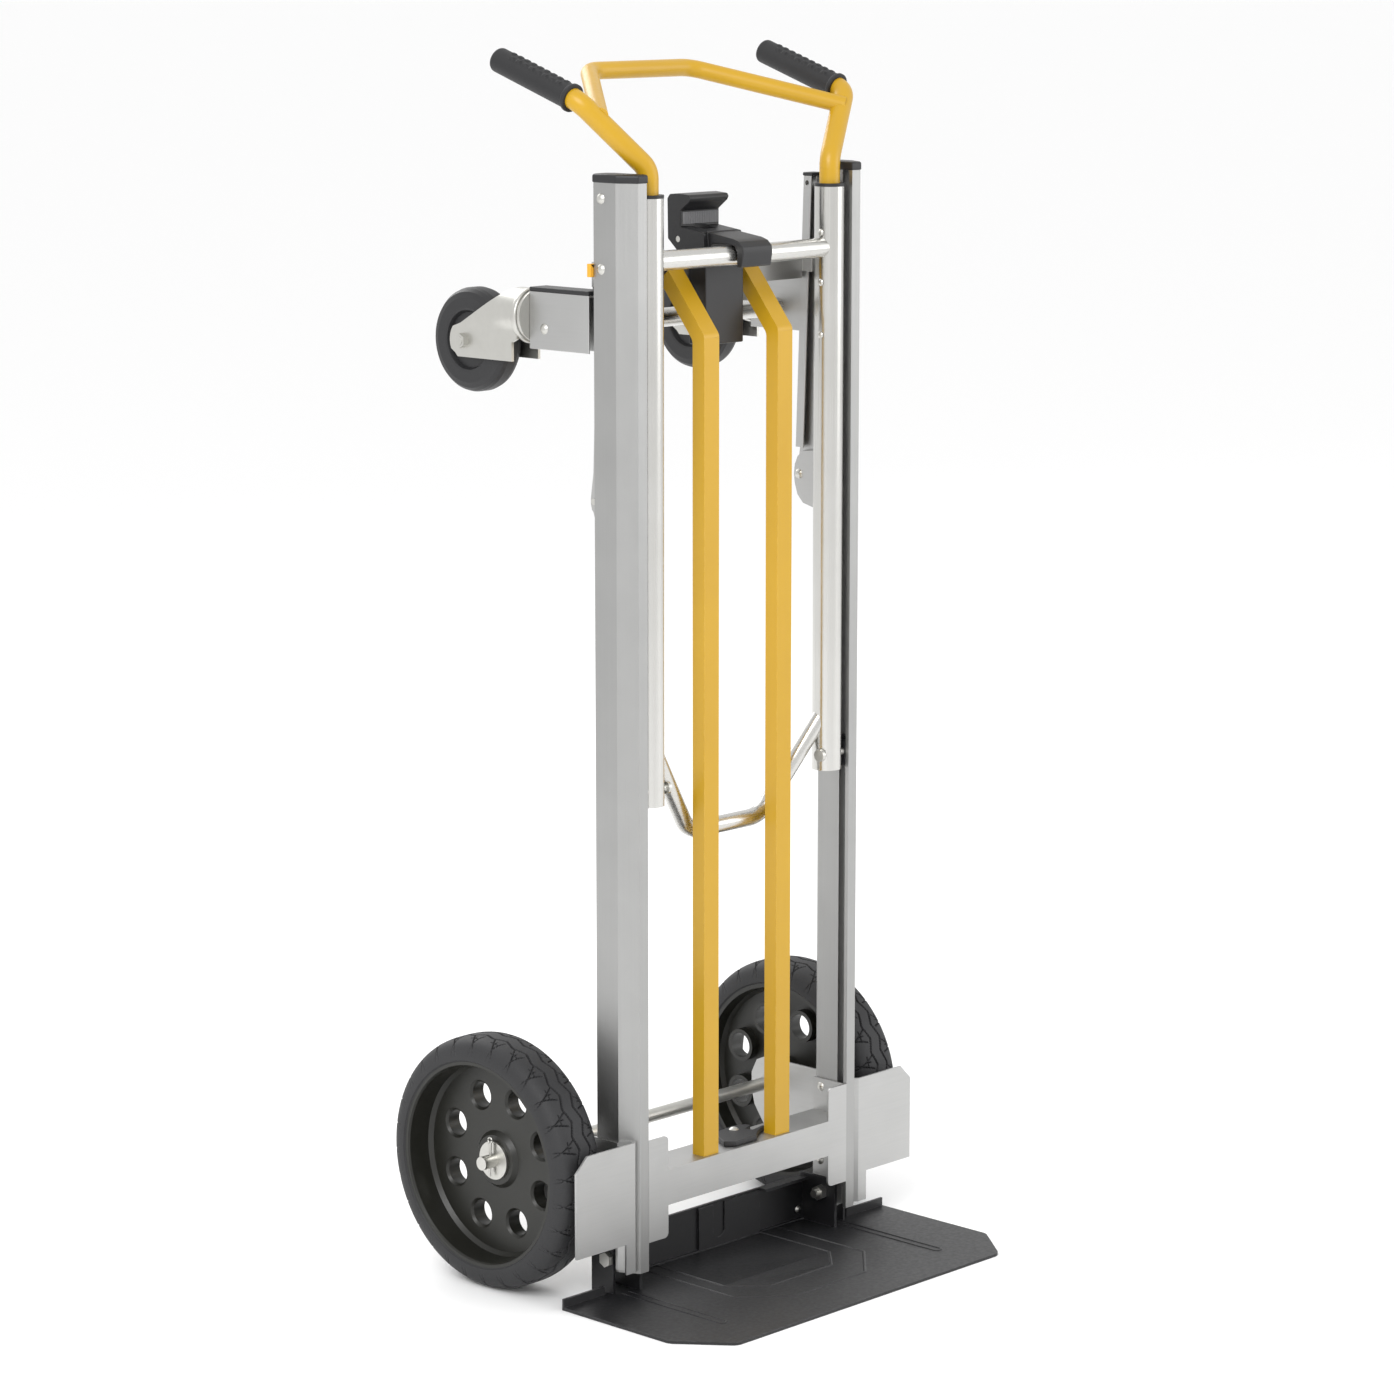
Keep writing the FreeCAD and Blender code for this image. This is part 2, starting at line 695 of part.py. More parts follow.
def slat_top_bar():
    """A rectangular tube across the back, with a cranked and riveted foot on each rail."""
    gauge = D["plate_gauge"]
    rail_face = D["rail_inner"] - 0.1
    reach = D["strut_inner"] - 0.4
    tube = box("top_bar_tube", (gauge - reach, reach - gauge), TOP_BAR, TOP_BAR_HEIGHT)
    wall = 1.6
    hollow = box(
        "top_bar_hollow",
        (gauge - reach + wall, reach - gauge - wall),
        (TOP_BAR[0] + wall, TOP_BAR[1] - wall),
        (TOP_BAR_HEIGHT[0] + wall, TOP_BAR_HEIGHT[1] - wall),
    )
    crank = (D["rail_back"] - 2.5, D["rail_back"] - 0.5)
    pieces = []
    for side, sign in SIDES.items():
        for name, low, high, depth in (
            ("seat", rail_face - gauge, rail_face, (3.6, crank[1])),
            ("crank", reach - gauge, rail_face, crank),
            ("cheek", reach - gauge, reach, (crank[0], TOP_BAR[1])),
        ):
            width = (low, high) if sign > 0 else (-high, -low)
            pieces.append(box(f"top_bar_{name}_{side}", width, depth, (946.8, 970.0)))
    spot = (-D["rail_inner"], TIE_RIVET_BACK, TIE_RIVET_HEIGHT)
    holes = rod("top_bar_hole", "x", RIVET_SHANK, spot, D["rail_inner"] * 2)
    return cut("top_bar", fuse("top_bar_frame", tube, *pieces), hollow, holes)


node("slat_top_bar", slat_top_bar())


# %% toe plate with its back wall, ears and pressed ribs, and the bolts through the rails
TOE_RIVET = (130.0, 13.5)
TOE_WALL_FRONT = 30.0


def toe_plate():
    gauge = D["toe_gauge"]
    half = D["toe_half"]
    front = D["toe_front"]
    inner = D["rail_inner"]
    ear_out = D["rail_outer"] + 0.3
    rear = 3.9
    wall = (TOE_WALL_FRONT, TOE_WALL_FRONT + gauge)
    right = [
        (half - 39.5, front),
        (half, front + 49.1),
        (half, rear),
        (ear_out + 3, rear),
        (ear_out + 3, 26.0),
        (inner, 26.0),
        (inner, wall[1]),
    ]
    left = [(-x, y) for x, y in reversed(right)]
    base = slab("toe_base", "xy", [right + left], 0.0, gauge)
    corners = [
        VECTOR(sign * x, y, 0)
        for sign in (-1, 1)
        for x, y in (
            (mm("toe_half") - 39.5, mm("toe_front")),
            (mm("toe_half"), mm("toe_front") + 49.1),
        )
    ]
    rounded(base, 12, VECTOR(0, 0, 1), corners)
    parts = [
        base,
        box("toe_wall", (-inner, inner), wall, (0, D["toe_wall"])),
        box("toe_wall_panel", (-15.0, 71.0), (wall[0] - 2.5, wall[0]), (0, 46.5)),
        rod("toe_fold", "x", 2.5, (-inner, wall[0] - 0.5, gauge - 0.5), inner * 2),
    ]
    for side, sign in SIDES.items():
        inner_ear = (inner - 3, inner) if sign > 0 else (-inner, 3 - inner)
        outer_ear = (ear_out, ear_out + 3) if sign > 0 else (-ear_out - 3, -ear_out)
        lip = (ear_out + 10, half) if sign > 0 else (-half, -ear_out - 10)
        shelf = (74.0, inner) if sign > 0 else (-inner, -74.0)
        tall = (D["toe_wall"] - gauge, D["toe_wall"])
        ear_top = D["toe_wall"] + 3.5
        parts.append(box(f"toe_shelf_{side}", shelf, (22.0, wall[1]), tall))
        parts.append(box(f"toe_ear_in_{side}", inner_ear, (-13.7, wall[1]), (0, ear_top)))
        parts.append(box(f"toe_ear_out_{side}", outer_ear, (-2.8, 26.0), (0, 46.0)))
        parts.append(box(f"toe_lip_{side}", lip, (rear - 2.5, rear), (0, 11.0)))
        bead = [(-4.5, -8), (-4.5, -137), (4.5, -137), (4.5, -8)]
        parts.append(rib(f"toe_bead_{side}", [(sign * 152 + x, y) for x, y in bead]))
    parts.append(rib("toe_band_out", [(-92, 30), (-92, -92), (-50, -130), (50, -130),
                                      (98, -86), (98, 30)]))
    parts.append(rib("toe_band_in", [(-74, 30), (-74, -62), (-44, -92), (44, -92),
                                     (74, -62), (74, 30)]))
    shell = fuse("toe_shell", *parts)
    spot = (-ear_out - 4, TOE_BOLT_BACK, TOE_BOLT_HEIGHT)
    tools = [rod("toe_bolt_hole", "x", TOE_BOLT_RADIUS, spot, ear_out * 2 + 8)]
    groove = (wall[0] - 3, wall[0] - 1)
    tools.append(box("toe_groove", (5.0, 21.0), groove, (20.0, 47.0)))
    tools.append(rod("toe_groove_end", "y", 8, (13.0, groove[0], 20.0), 2))
    for side, sign in SIDES.items():
        spot = (sign * TOE_RIVET[0], wall[0] - 1, TOE_RIVET[1])
        tools.append(rod(f"toe_rivet_hole_{side}", "y", RIVET_SHANK, spot, 6))
    return cut("toe_plate_cut", shell, *tools)


def rib(label, route):
    """A low round crease pressed up along a polyline on the toe plate."""
    path = bent_line([VECTOR(x, y, mm("toe_gauge") - 1.2) for x, y in route], 4)
    return swept(label, path, 2.0)


def toe_plate_bolts():
    pieces = []
    head_x = mm("rail_outer") + 3.3
    nut_x = mm("rail_inner") - 3
    for side, sign in SIDES.items():
        start = head_x if sign > 0 else -head_x - 5
        head = hexagon(
            f"toe_bolt_head_{side}", "x", 7.5, (start, TOE_BOLT_BACK, TOE_BOLT_HEIGHT), 5
        )
        low = nut_x - 12 if sign > 0 else -head_x
        length = head_x - nut_x + 12
        spot = (low, TOE_BOLT_BACK, TOE_BOLT_HEIGHT)
        shank = rod(f"toe_bolt_shank_{side}", "x", TOE_BOLT_RADIUS, spot, length)
        pieces.append(fuse(f"toe_bolt_{side}", head, shank))
        nut_start = nut_x - 7 if sign > 0 else -nut_x
        spot = (nut_start, TOE_BOLT_BACK, TOE_BOLT_HEIGHT)
        nut = hexagon(f"toe_nut_body_{side}", "x", 7.5, spot, 7)
        bore = rod(f"toe_nut_bore_{side}", "x", TOE_BOLT_RADIUS, spot, 7)
        pieces.append(cut(f"toe_nut_{side}", nut, bore))
    return group("toe_bolts", *pieces)


node("toe_plate", toe_plate())
node("toe_plate_bolts", toe_plate_bolts())


# %% axle, spacers, washers and cotter pins
COTTER_RADIUS = 1.5
COTTER_INSET = 8.5


def axle():
    length = D["axle_half"] * 2
    spot = (-D["axle_half"], D["axle_back"], D["axle_height"])
    bar = rod("axle_bar", "x", D["axle_radius"], spot, length)
    holes = []
    for side, sign in SIDES.items():
        spot = (
            (D["axle_half"] - COTTER_INSET) * sign,
            D["axle_back"],
            D["axle_height"] - 10,
        )
        holes.append(rod(f"cotter_hole_{side}", "z", COTTER_RADIUS, spot, 20))
    return cut("axle_drilled", bar, *holes)


def ring(label, bore, outer, start, length, y, z):
    """A washer or spacer along X."""
    disc = rod(label + "_disc", "x", outer, (start, y, z), length)
    hole = rod(label + "_hole", "x", bore, (start - 1, y, z), length + 2)
    return cut(label, disc, hole)


def axle_rings(label, low, high, outer):
    """The same ring on both ends of the axle."""
    pieces = []
    for side, sign in SIDES.items():
        start = low if sign > 0 else -high
        pieces.append(
            ring(
                f"{label}_{side}", D["axle_radius"], outer, start, high - low,
                D["axle_back"], D["axle_height"],
            )
        )
    return group(label + "_set", *pieces)


def cotter_pins():
    pieces = []
    for side, sign in SIDES.items():
        x = (D["axle_half"] - COTTER_INSET) * sign
        leg = rod(
            f"cotter_leg_{side}",
            "z",
            COTTER_RADIUS,
            (x, D["axle_back"], D["axle_height"] - 16),
            32,
        )
        eye = sized("Part::Torus", f"cotter_eye_{side}", Radius1=3.6, Radius2=1.3)
        put(eye, x, D["axle_back"], D["axle_height"] + 19.5, AXIS_TURNS["x"])
        pieces.append(fuse(f"cotter_{side}", leg, eye))
    return group("cotter_set", *pieces)


node("axle", axle())
node(
    "axle_spacers",
    axle_rings("axle_spacer", D["rail_outer"] + 2.3, D["hub_inner"] - 0.3, 10),
)
node(
    "axle_washers",
    axle_rings("axle_washer", D["hub_outer"] + 0.3, D["hub_outer"] + 2.8, 18.5),
)
node("cotter_pins", cotter_pins())


# %% main wheels
def tyre(label):
    half = D["tyre_half"]
    top = D["wheel_radius"]
    seat = D["rim_radius"]
    profile = [
        (1.5 - half, seat),
        (-half, seat + 6),
        (-half + 1.0, top - 9),
        (-half + 5.0, top - 3.2),
        (-half + 12, top - 0.7),
        (-6.0, top),
        (6.0, top),
        (half - 12, top - 0.7),
        (half - 5, top - 3.2),
        (half - 1, top - 9),
        (half, seat + 6),
        (half - 1.5, seat),
    ]
    centre = (D["wheel_middle"], D["axle_back"], D["axle_height"])
    return turned(label, "x", centre, profile)


def hub(label):
    middle = D["wheel_middle"]
    bore = D["axle_radius"] + D["running_gap"]
    seat = D["rim_radius"]
    lip = D["tyre_half"] - 1.5
    web_out = D["web_outer"] - middle
    boss_in = D["hub_inner"] - middle
    boss_out = D["hub_outer"] - middle
    profile = [
        (boss_in, bore),
        (boss_out, bore),
        (boss_out, 24.0),
        (web_out, 28.0),
        (web_out, seat - 9),
        (web_out + 4, seat - 5.6),
        (lip - 2, seat - 4.2),
        (lip, seat - 3),
        (lip, seat),
        (-lip, seat),
        (-lip, seat - 4),
        (web_out - 10, seat - 5.6),
        (web_out - 6, seat - 9),
        (web_out - 6, 22.0),
        (boss_in, 17.0),
    ]
    centre = (middle, D["axle_back"], D["axle_height"])
    disc = turned(label + "_disc", "x", centre, profile)
    windows = []
    rings = []
    for number in range(8):
        turn = math.radians(22.5 + 45 * number)
        y = D["axle_back"] + D["window_circle"] * math.cos(turn)
        z = D["axle_height"] + D["window_circle"] * math.sin(turn)
        face = D["web_outer"]
        name = f"{label}_window_{number}"
        rings.append(rod(name + "_rim", "x", 16.5, (face - 16, y, z), 11))
        windows.append(rod(name, "x", D["window_radius"], (face - 20, y, z), 24))
        radii = (D["window_radius"] - 0.2, D["window_radius"] + 3.2)
        windows.append(cone(name + "_bevel", "x", radii, (face - 2.4, y, z), 3.4))
    solid = fuse(label + "_cast", disc, *rings)
    return cut(label, solid, *windows)


pair("tyre", tyre)
pair("hub", hub)


# %% handle carriage: sliders in the rail slots and the pivot bolts they carry
SLIDER_HALF = 15.0
SLIDE_GAP = 0.3


def slider(label):
    low = D["pivot_height"] - SLIDER_HALF
    high = D["pivot_height"] + SLIDER_HALF
    half = D["slot_cavity"] * 0.5 - SLIDE_GAP
    neck = D["slot_opening"] * 0.5 - SLIDE_GAP
    middle = D["slot_middle"]
    floor = D["slot_floor"] - SLIDE_GAP
    lip = D["rail_inner"] + D["rail_wall"] + SLIDE_GAP
    shoe = box(label + "_shoe", (lip, floor), (middle - half, middle + half), (low, high))
    stem = box(
        label + "_stem",
        (D["rail_inner"] - 1, lip + 1),
        (middle - neck, middle + neck),
        (low + 4, high - 4),
    )
    spot = (D["rail_inner"] - 2, middle, D["pivot_height"])
    hole = rod(label + "_hole", "x", D["bolt_radius"], spot, 20)
    return cut(label, fuse(label + "_block", shoe, stem), hole)


def pivot_bolts():
    pieces = []
    head_x = mm("tube_middle") - mm("tube_radius") - 0.4
    tail_x = mm("slot_floor") - 0.3
    for side, sign in SIDES.items():
        low = head_x if sign > 0 else -tail_x
        spot = (low, D["slot_middle"], D["pivot_height"])
        shank = rod(f"pivot_shank_{side}", "x", D["bolt_radius"], spot, tail_x - head_x)
        low = head_x - 3.5 if sign > 0 else -head_x
        spot = (low, D["slot_middle"], D["pivot_height"])
        head = rod(f"pivot_head_{side}", "x", 6, spot, 3.5)
        pieces.append(fuse(f"pivot_bolt_{side}", shank, head))
    return group("pivot_bolt_set", *pieces)


pair("slider", slider)
node("pivot_bolts", pivot_bolts())


# %% handle frame: tubes, collars, crossbar, U-bar, bent legs, loop and grips
SCREW_HEIGHTS = (890.0, 939.9, 987.0)
SCREW_BACK = -13.5
SCREW_RADIUS = 2.0


def handle_tube(label):
    spot = (D["tube_middle"], D["tube_line"], D["tube_bottom"])
    tall = D["tube_top"] - D["tube_bottom"]
    outside = rod(label + "_skin", "z", D["tube_radius"], spot, tall)
    below = (D["tube_middle"], D["tube_line"], D["tube_bottom"] - 1)
    tools = [rod(label + "_bore", "z", D["tube_bore"], below, tall + 2)]
    spot = (D["tube_middle"] - 20, D["slot_middle"], D["pivot_height"])
    hole = D["bolt_radius"] + D["running_gap"]
    tools.append(rod(label + "_pivot_hole", "x", hole, spot, 40))
    for number, height in enumerate(SCREW_HEIGHTS):
        spot = (D["tube_middle"] - 20, SCREW_BACK, height)
        tools.append(rod(f"{label}_screw_hole_{number}", "x", SCREW_RADIUS, spot, 14))
    return cut(label, outside, *tools)


def tube_collar(label):
    top = (D["tube_middle"], D["tube_line"], D["tube_top"])
    disc = rod(label + "_disc", "z", D["tube_radius"] + 0.3, top, 3)
    under = (D["tube_middle"], D["tube_line"], D["tube_top"] - 24)
    plug = rod(label + "_plug", "z", D["tube_bore"], under, 24)
    under = (D["tube_middle"], D["tube_line"], D["tube_top"] - 25)
    bore = rod(label + "_bore", "z", D["leg_radius"], under, 30)
    return cut(label, fuse(label + "_body", disc, plug), bore)


def straight_tubes(label, radius):
    """Solid rods where the handle tubes are, to cope the bars against them."""
    rods = []
    for side, sign in SIDES.items():
        spot = (D["tube_middle"] * sign, D["tube_line"], D["tube_bottom"])
        rods.append(rod(f"{label}_{side}", "z", radius, spot, 560))
    return rods


def handle_crossbar():
    reach = mm("tube_middle")
    height = mm("bar_height")
    bow = mm("tube_line") - 3.6
    ends = [VECTOR(s * reach, mm("tube_line"), height) for s in (-1, 1)]
    path = Part.Wire([Part.Arc(ends[0], VECTOR(0, bow, height), ends[1]).toShape()])
    bar = swept("handle_crossbar_bar", path, D["bar_radius"])
    cope = straight_tubes("crossbar_cope", D["tube_radius"])
    return cut("handle_crossbar_coped", bar, *cope)


def u_bar():
    top = VECTOR(mm("tube_middle"), mm("tube_line"), 530)
    corner = VECTOR(50, 9, 430)
    points = [
        VECTOR(-top.x, top.y, top.z),
        VECTOR(-corner.x, corner.y, corner.z),
        corner,
        top,
    ]
    bar = swept("u_bar_bar", bent_line(points, 30), D["ubar_radius"])
    cope = straight_tubes("u_bar_cope", D["tube_radius"])
    return cut("u_bar_coped", bar, *cope)


LEG_FOOT = 862.0
LEG_KNEE = 1056.0
LEG_ELBOW = VECTOR(178, 20, 1117)
LEG_TIP = VECTOR(178, 122, 1151.5)
LEG_WALL = 1.8
LOOP_FOOT = VECTOR(165, 8, 1104)
LOOP_CORNER = VECTOR(67.5, 119.8, 1139.5)


def leg_line():
    foot = VECTOR(mm("tube_middle"), mm("tube_line"), LEG_FOOT)
    knee = VECTOR(mm("tube_middle"), mm("tube_line"), LEG_KNEE)
    return bent_line([foot, knee, LEG_ELBOW, LEG_TIP], 20)


def handle_leg(label):
    outside = swept(label + "_skin", leg_line(), D["leg_radius"])
    inside = swept(label + "_hollow", leg_line(), D["leg_radius"] - LEG_WALL)
    tools = [inside]
    for number, height in enumerate(SCREW_HEIGHTS):
        spot = (D["tube_middle"] - 20, SCREW_BACK, height)
        tools.append(rod(f"{label}_screw_hole_{number}", "x", SCREW_RADIUS, spot, 14))
    return cut(label, outside, *tools)


def handle_loop():
    points = []
    for x_sign, spots in ((-1, (LOOP_FOOT, LOOP_CORNER)), (1, (LOOP_CORNER, LOOP_FOOT))):
        points += [VECTOR(x_sign * spot.x, spot.y, spot.z) for spot in spots]
    bar = swept("handle_loop_bar", bent_line(points, 26), D["loop_radius"])
    right = swept("loop_cope_right", leg_line(), D["leg_radius"])
    left = mirrored("loop_cope_left", right)
    return cut("handle_loop_coped", bar, right, left)


def grip(label):
    """A closed rubber sleeve with a flange at its inner end."""
    along = (LEG_TIP - LEG_ELBOW).normalize()
    facing = FreeCAD.Rotation(VECTOR(0, 0, 1), along)
    start = LEG_ELBOW + along * 9
    length = (LEG_TIP - start).Length
    pieces = []
    for name, radius, offset, tall in (
        ("sleeve", D["grip_radius"], 0, length + 1),
        ("flange", D["grip_radius"] + 1.6, 0, 4),
        ("end", D["grip_radius"] - 1.2, length, 3.4),
    ):
        piece = sized("Part::Cylinder", f"{label}_{name}", Radius=radius, Height=tall)
        piece.Placement = FreeCAD.Placement(start + along * offset, facing)
        pieces.append(piece)
    bore = sized("Part::Cylinder", label + "_bore", Radius=D["leg_radius"])
    bore.Height = length + 1
    bore.Placement = FreeCAD.Placement(start - along, facing)
    return cut(label, fuse(label + "_rubber", *pieces), bore)


def handle_screws():
    """Pan-head screws and one snap rivet through each tube into the leg inside it."""
    pieces = []
    face = mm("tube_middle") - mm("tube_radius") - 0.1
    for side, sign in SIDES.items():
        for number, height in enumerate(SCREW_HEIGHTS):
            spot = VECTOR(sign * face, SCREW_BACK, height)
            label = f"handle_screw_{side}_{number}"
            pieces.append(dome(label, "x", -sign, spot, 3.4, SCREW_RADIUS, 6.0))
    return group("handle_screw_set", *pieces)


pair("handle_tube", handle_tube)
collar_right = tube_collar("tube_collar_right")
node("tube_collars", group(
    "tube_collar_set", collar_right, mirrored("tube_collar_left", collar_right)
))
node("handle_crossbar", handle_crossbar())
node("u_bar", u_bar())
pair("handle_leg", handle_leg)
node("handle_loop", handle_loop())
pair("grip", grip)
node("handle_screws", handle_screws())


# %% latch post, sprung push latch and its hinge pin
LUG_HALF = 8.0
LUG_FRONT = 36.0
LUG_BACK = 54.0
POST_LOW = 888.0
POST_FRONT = 9.0
POST_CROWN = (965.2, 973.0)


def latch_post():
    half = D["post_half"]
    back = TOP_BAR[0] - 0.1
    body = box("post_body", (-half, half), (POST_FRONT, back), (POST_LOW, POST_CROWN[1]))
    hollow = box(
        "post_hollow",
        (3 - half, half - 3),
        (POST_FRONT + 3, back + 1),
        (POST_LOW + 3, POST_CROWN[1] - 4),
    )
    crown = box("post_crown", (-half, half), (back - 6, LUG_BACK), POST_CROWN)
    lug = box("post_lug", (-LUG_HALF, LUG_HALF), (LUG_FRONT, LUG_BACK), (970.0, 993.0))
    spot = (-LUG_HALF - 1, D["latch_pin_back"], D["latch_pin_height"])
    bore = rod("post_bore", "x", D["latch_pin_radius"], spot, LUG_HALF * 2 + 2)
    shell = cut("post_shell", body, hollow)
    return cut("post_cut", fuse("post_fused", shell, crown, lug), bore)


def push_latch():
    """Thumb lip, sloping tongue and the hook that drops over the handle crossbar."""
    thumb = [
        (30.0, 973.4), (45.0, 973.4), (58.0, 985.0), (58.6, 1022.5), (55.5, 1026.5),
        (44.0, 1027.4), (30.5, 1026.4), (28.6, 1023.5), (30.0, 1020.0), (41.0, 1011.5),
        (41.0, 996.0), (30.0, 993.0),
    ]
    tongue = [
        (10.5, 973.4), (44.0, 973.4), (44.0, 996.5), (41.0, 996.5), (-20.0, 988.2),
        (-27.5, 985.8), (-32.6, 981.0), (-33.4, 975.0), (-31.5, 963.5), (-29.5, 961.8),
        (-25.2, 962.4), (-24.9, 976.0), (-22.0, 981.2), (-16.0, 982.6), (6.0, 982.6),
    ]
    upper = slab("latch_thumb", "yz", [thumb], -26.0, 26.0)
    lower = slab("latch_tongue", "yz", [tongue], -20.0, 20.0)
    root = slab(
        "latch_root",
        "yz",
        [[(10.5, 973.4), (44.0, 973.4), (44.0, 996.5), (41.0, 996.5), (12.0, 992.6)]],
        -26.0,
        26.0,
    )
    slot = box(
        "latch_slot",
        (-LUG_HALF - 0.4, LUG_HALF + 0.4),
        (LUG_FRONT - 8, LUG_BACK + 8),
        (970.0, 998.5),
    )
    pocket = box("latch_spring_pocket", (-14.5, -LUG_HALF), (38.0, 52.0), (978.0, 992.0))
    spot = (-30.0, D["latch_pin_back"], D["latch_pin_height"])
    hole = D["latch_pin_radius"] + D["running_gap"]
    bore = rod("latch_bore", "x", hole, spot, 60)
    return cut("latch_cut", fuse("latch_body", upper, lower, root), slot, pocket, bore)


def latch_spring():
    """A torsion spring drawn as its closed coil round the pin, beside the lug."""
    y = D["latch_pin_back"]
    z = D["latch_pin_height"]
    coils = []
    for number in range(3):
        coil = sized("Part::Torus", f"spring_coil_{number}", Radius1=4.2, Radius2=0.8)
        put(coil, -LUG_HALF - 1.3 - 1.5 * number, y, z, AXIS_TURNS["x"])
        coils.append(coil)
    return fuse("latch_coils", *coils)


node("latch_post", latch_post())
node("push_latch", push_latch())
node("latch_strip", box("latch_strip_plate", (-23.5, 23.5), (39.6, 41.0), (999.0, 1010.0)))
node("latch_spring", latch_spring())
pin_spot = (-25.5, D["latch_pin_back"], D["latch_pin_height"])
node("latch_pin", rod("latch_pin_rod", "x", D["latch_pin_radius"], pin_spot, 51))


# %% swing catch on the lower crossbar
def catch():
    gauge = 5.0
    low = D["web_high"] + 0.2
    loop = [
        (-8.0, 16.0), (-22.0, -12.0), (-14.0, -20.0), (16.0, -20.0), (26.0, -12.0),
        (37.0, -5.5), (45.0, -3.0), (45.0, 0.5), (28.0, -3.0), (25.0, 3.0),
        (38.0, 9.0), (37.0, 15.0), (24.0, 20.0),
    ]
    plate = slab("catch_plate", "xy", [loop], low, low + gauge)
    spot = (CATCH_PIVOT[0], CATCH_PIVOT[1], low - 1)
    bore = rod("catch_bore", "z", CATCH_PIN + 0.05, spot, gauge + 2)
    return cut("catch_cut", plate, bore)


node("swing_catch", catch())
catch_top = VECTOR(CATCH_PIVOT[0], CATCH_PIVOT[1], mm("web_high") + 5.4)
catch_grip = 5.4 + mm("plate_gauge")
RIVETS.append(dome("catch_rivet", "z", 1, catch_top, 5, CATCH_PIN, catch_grip))
for side, sign in SIDES.items():
    spot = VECTOR(sign * TOE_RIVET[0], TOE_WALL_FRONT, TOE_RIVET[1])
    RIVETS.append(dome(f"toe_rivet_{side}", "y", -1, spot, 4, RIVET_SHANK, 3.5))
node("frame_rivets", group("rivet_set", *RIVETS))


# %% caster frame: pivot plates, legs, brackets, cross tube
LEAN = 2.0
LEG_HALF = 4.9
LEG_LINE = 37.15
CHANNEL_LOW = 26.5


def pivot_plate(label):
    inner = D["rail_inner"] - 0.1 - D["plate_gauge"]
    back = D["frame_pivot_back"]
    height = D["frame_pivot_height"]
    loop = [
        (3.6, height - 31), (22.0, height - 31), (34.0, height - 28),
        (back + 2, height - 20), (back + 5.5, height - 9), (back + 6.5, height),
        (back + 5.5, height + 9), (back + 2, height + 17), (35.0, height + 23),
        (22.0, height + 24.4), (3.6, height + 24.4),
    ]
    plate = slab(label + "_plate", "yz", [loop], inner, inner + D["plate_gauge"])
    spot = (inner - 1, back, height)
    tools = [rod(label + "_pin_hole", "x", D["frame_pivot_radius"], spot, 4)]
    for number, rivet_height in enumerate(PLATE_RIVETS):
        spot = (inner - 1, PLATE_RIVET_BACK, rivet_height)
        tools.append(rod(f"{label}_hole_{number}", "x", RIVET_SHANK, spot, 4))
    return cut(label, plate, *tools)


def pivot_pins():
    """Headed pins, fast in the pivot plates, on which the caster frame swings."""
    pieces = []
    face = mm("rail_inner") - 0.1 - mm("plate_gauge")
    for side, sign in SIDES.items():
        spot = VECTOR(sign * face, mm("frame_pivot_back"), mm("frame_pivot_height"))
        length = mm("strut_side") + mm("strut_gauge") + 1.5 - face
        label = f"pivot_pin_{side}"
        pieces.append(
            dome(label, "x", -sign, spot, 5, mm("frame_pivot_radius"), length)
        )
    return group("pivot_pin_set", *pieces)


def lean_back(height, offset):
    """Front-to-back place of a point on a leg's channel, from its height and its offset."""
    rise = height - D["frame_pivot_height"]
    return LEG_LINE + offset - rise * math.tan(math.radians(LEAN))


def strut_loop(front, back, low, high):
    """Side view of a leaning band between two heights, from its middle line."""
    return [
        (lean_back(low, front), low),
        (lean_back(low, back), low),
        (lean_back(high, back), high),
        (lean_back(high, front), high),
    ]


def caster_leg(label):
    """A leaning channel, open to the front, on the side of an upright box section."""
    gauge = D["strut_gauge"]
    inner = D["strut_inner"]
    side = D["strut_side"]
    front = D["strut_front"]
    pivot_back = D["frame_pivot_back"]
    pivot = D["frame_pivot_height"]
    low = pivot + CHANNEL_LOW
    top = D["strut_top"]
    loop = strut_loop(-LEG_HALF, LEG_HALF, low, top)
    channel = slab(label + "_channel", "yz", [loop], inner, side + gauge)
    loop = strut_loop(-LEG_HALF - 4, LEG_HALF - gauge, low - 1, top + 1)
    inside = slab(label + "_channel_inside", "yz", [loop], inner + gauge, side)
    loop = [
        (front, pivot + 1), (front + 1.5, pivot - 3), (pivot_back - 12, pivot - 6.5),
        (pivot_back - 6, pivot - 10.5), (pivot_back, pivot - 11.5),
        (pivot_back + 3.8, pivot - 8), (pivot_back + 5.2, pivot - 2),
        (pivot_back + 5, pivot + 4), (lean_back(low, LEG_HALF), low),
        (lean_back(top, LEG_HALF), top), (front, top),
    ]
    cheek = slab(label + "_cheek", "yz", [loop], side, side + gauge)
    back = front + 11.4
    bottom = pivot + 17
    tube = box(label + "_tube", (side, D["strut_outer"]), (front, back), (bottom, top))
    bore = box(
        label + "_tube_bore",
        (side + gauge, D["strut_outer"] - gauge),
        (front + gauge, back - gauge),
        (bottom - 1, top + 1),
    )
    hole = D["frame_pivot_radius"] + D["running_gap"]
    pin_hole = rod(label + "_pin_hole", "x", hole, (side - 1, pivot_back, pivot), 4)
    spot = (inner - 1, lean_back(top, 0.5), top - 6.6)
    lock_hole = rod(label + "_lock_hole", "x", 2.4, spot, 4)
    open_channel = cut(label + "_open_channel", channel, inside)
    return cut(label, fuse(label + "_bar", open_channel, cheek, tube), bore, pin_hole, lock_hole)


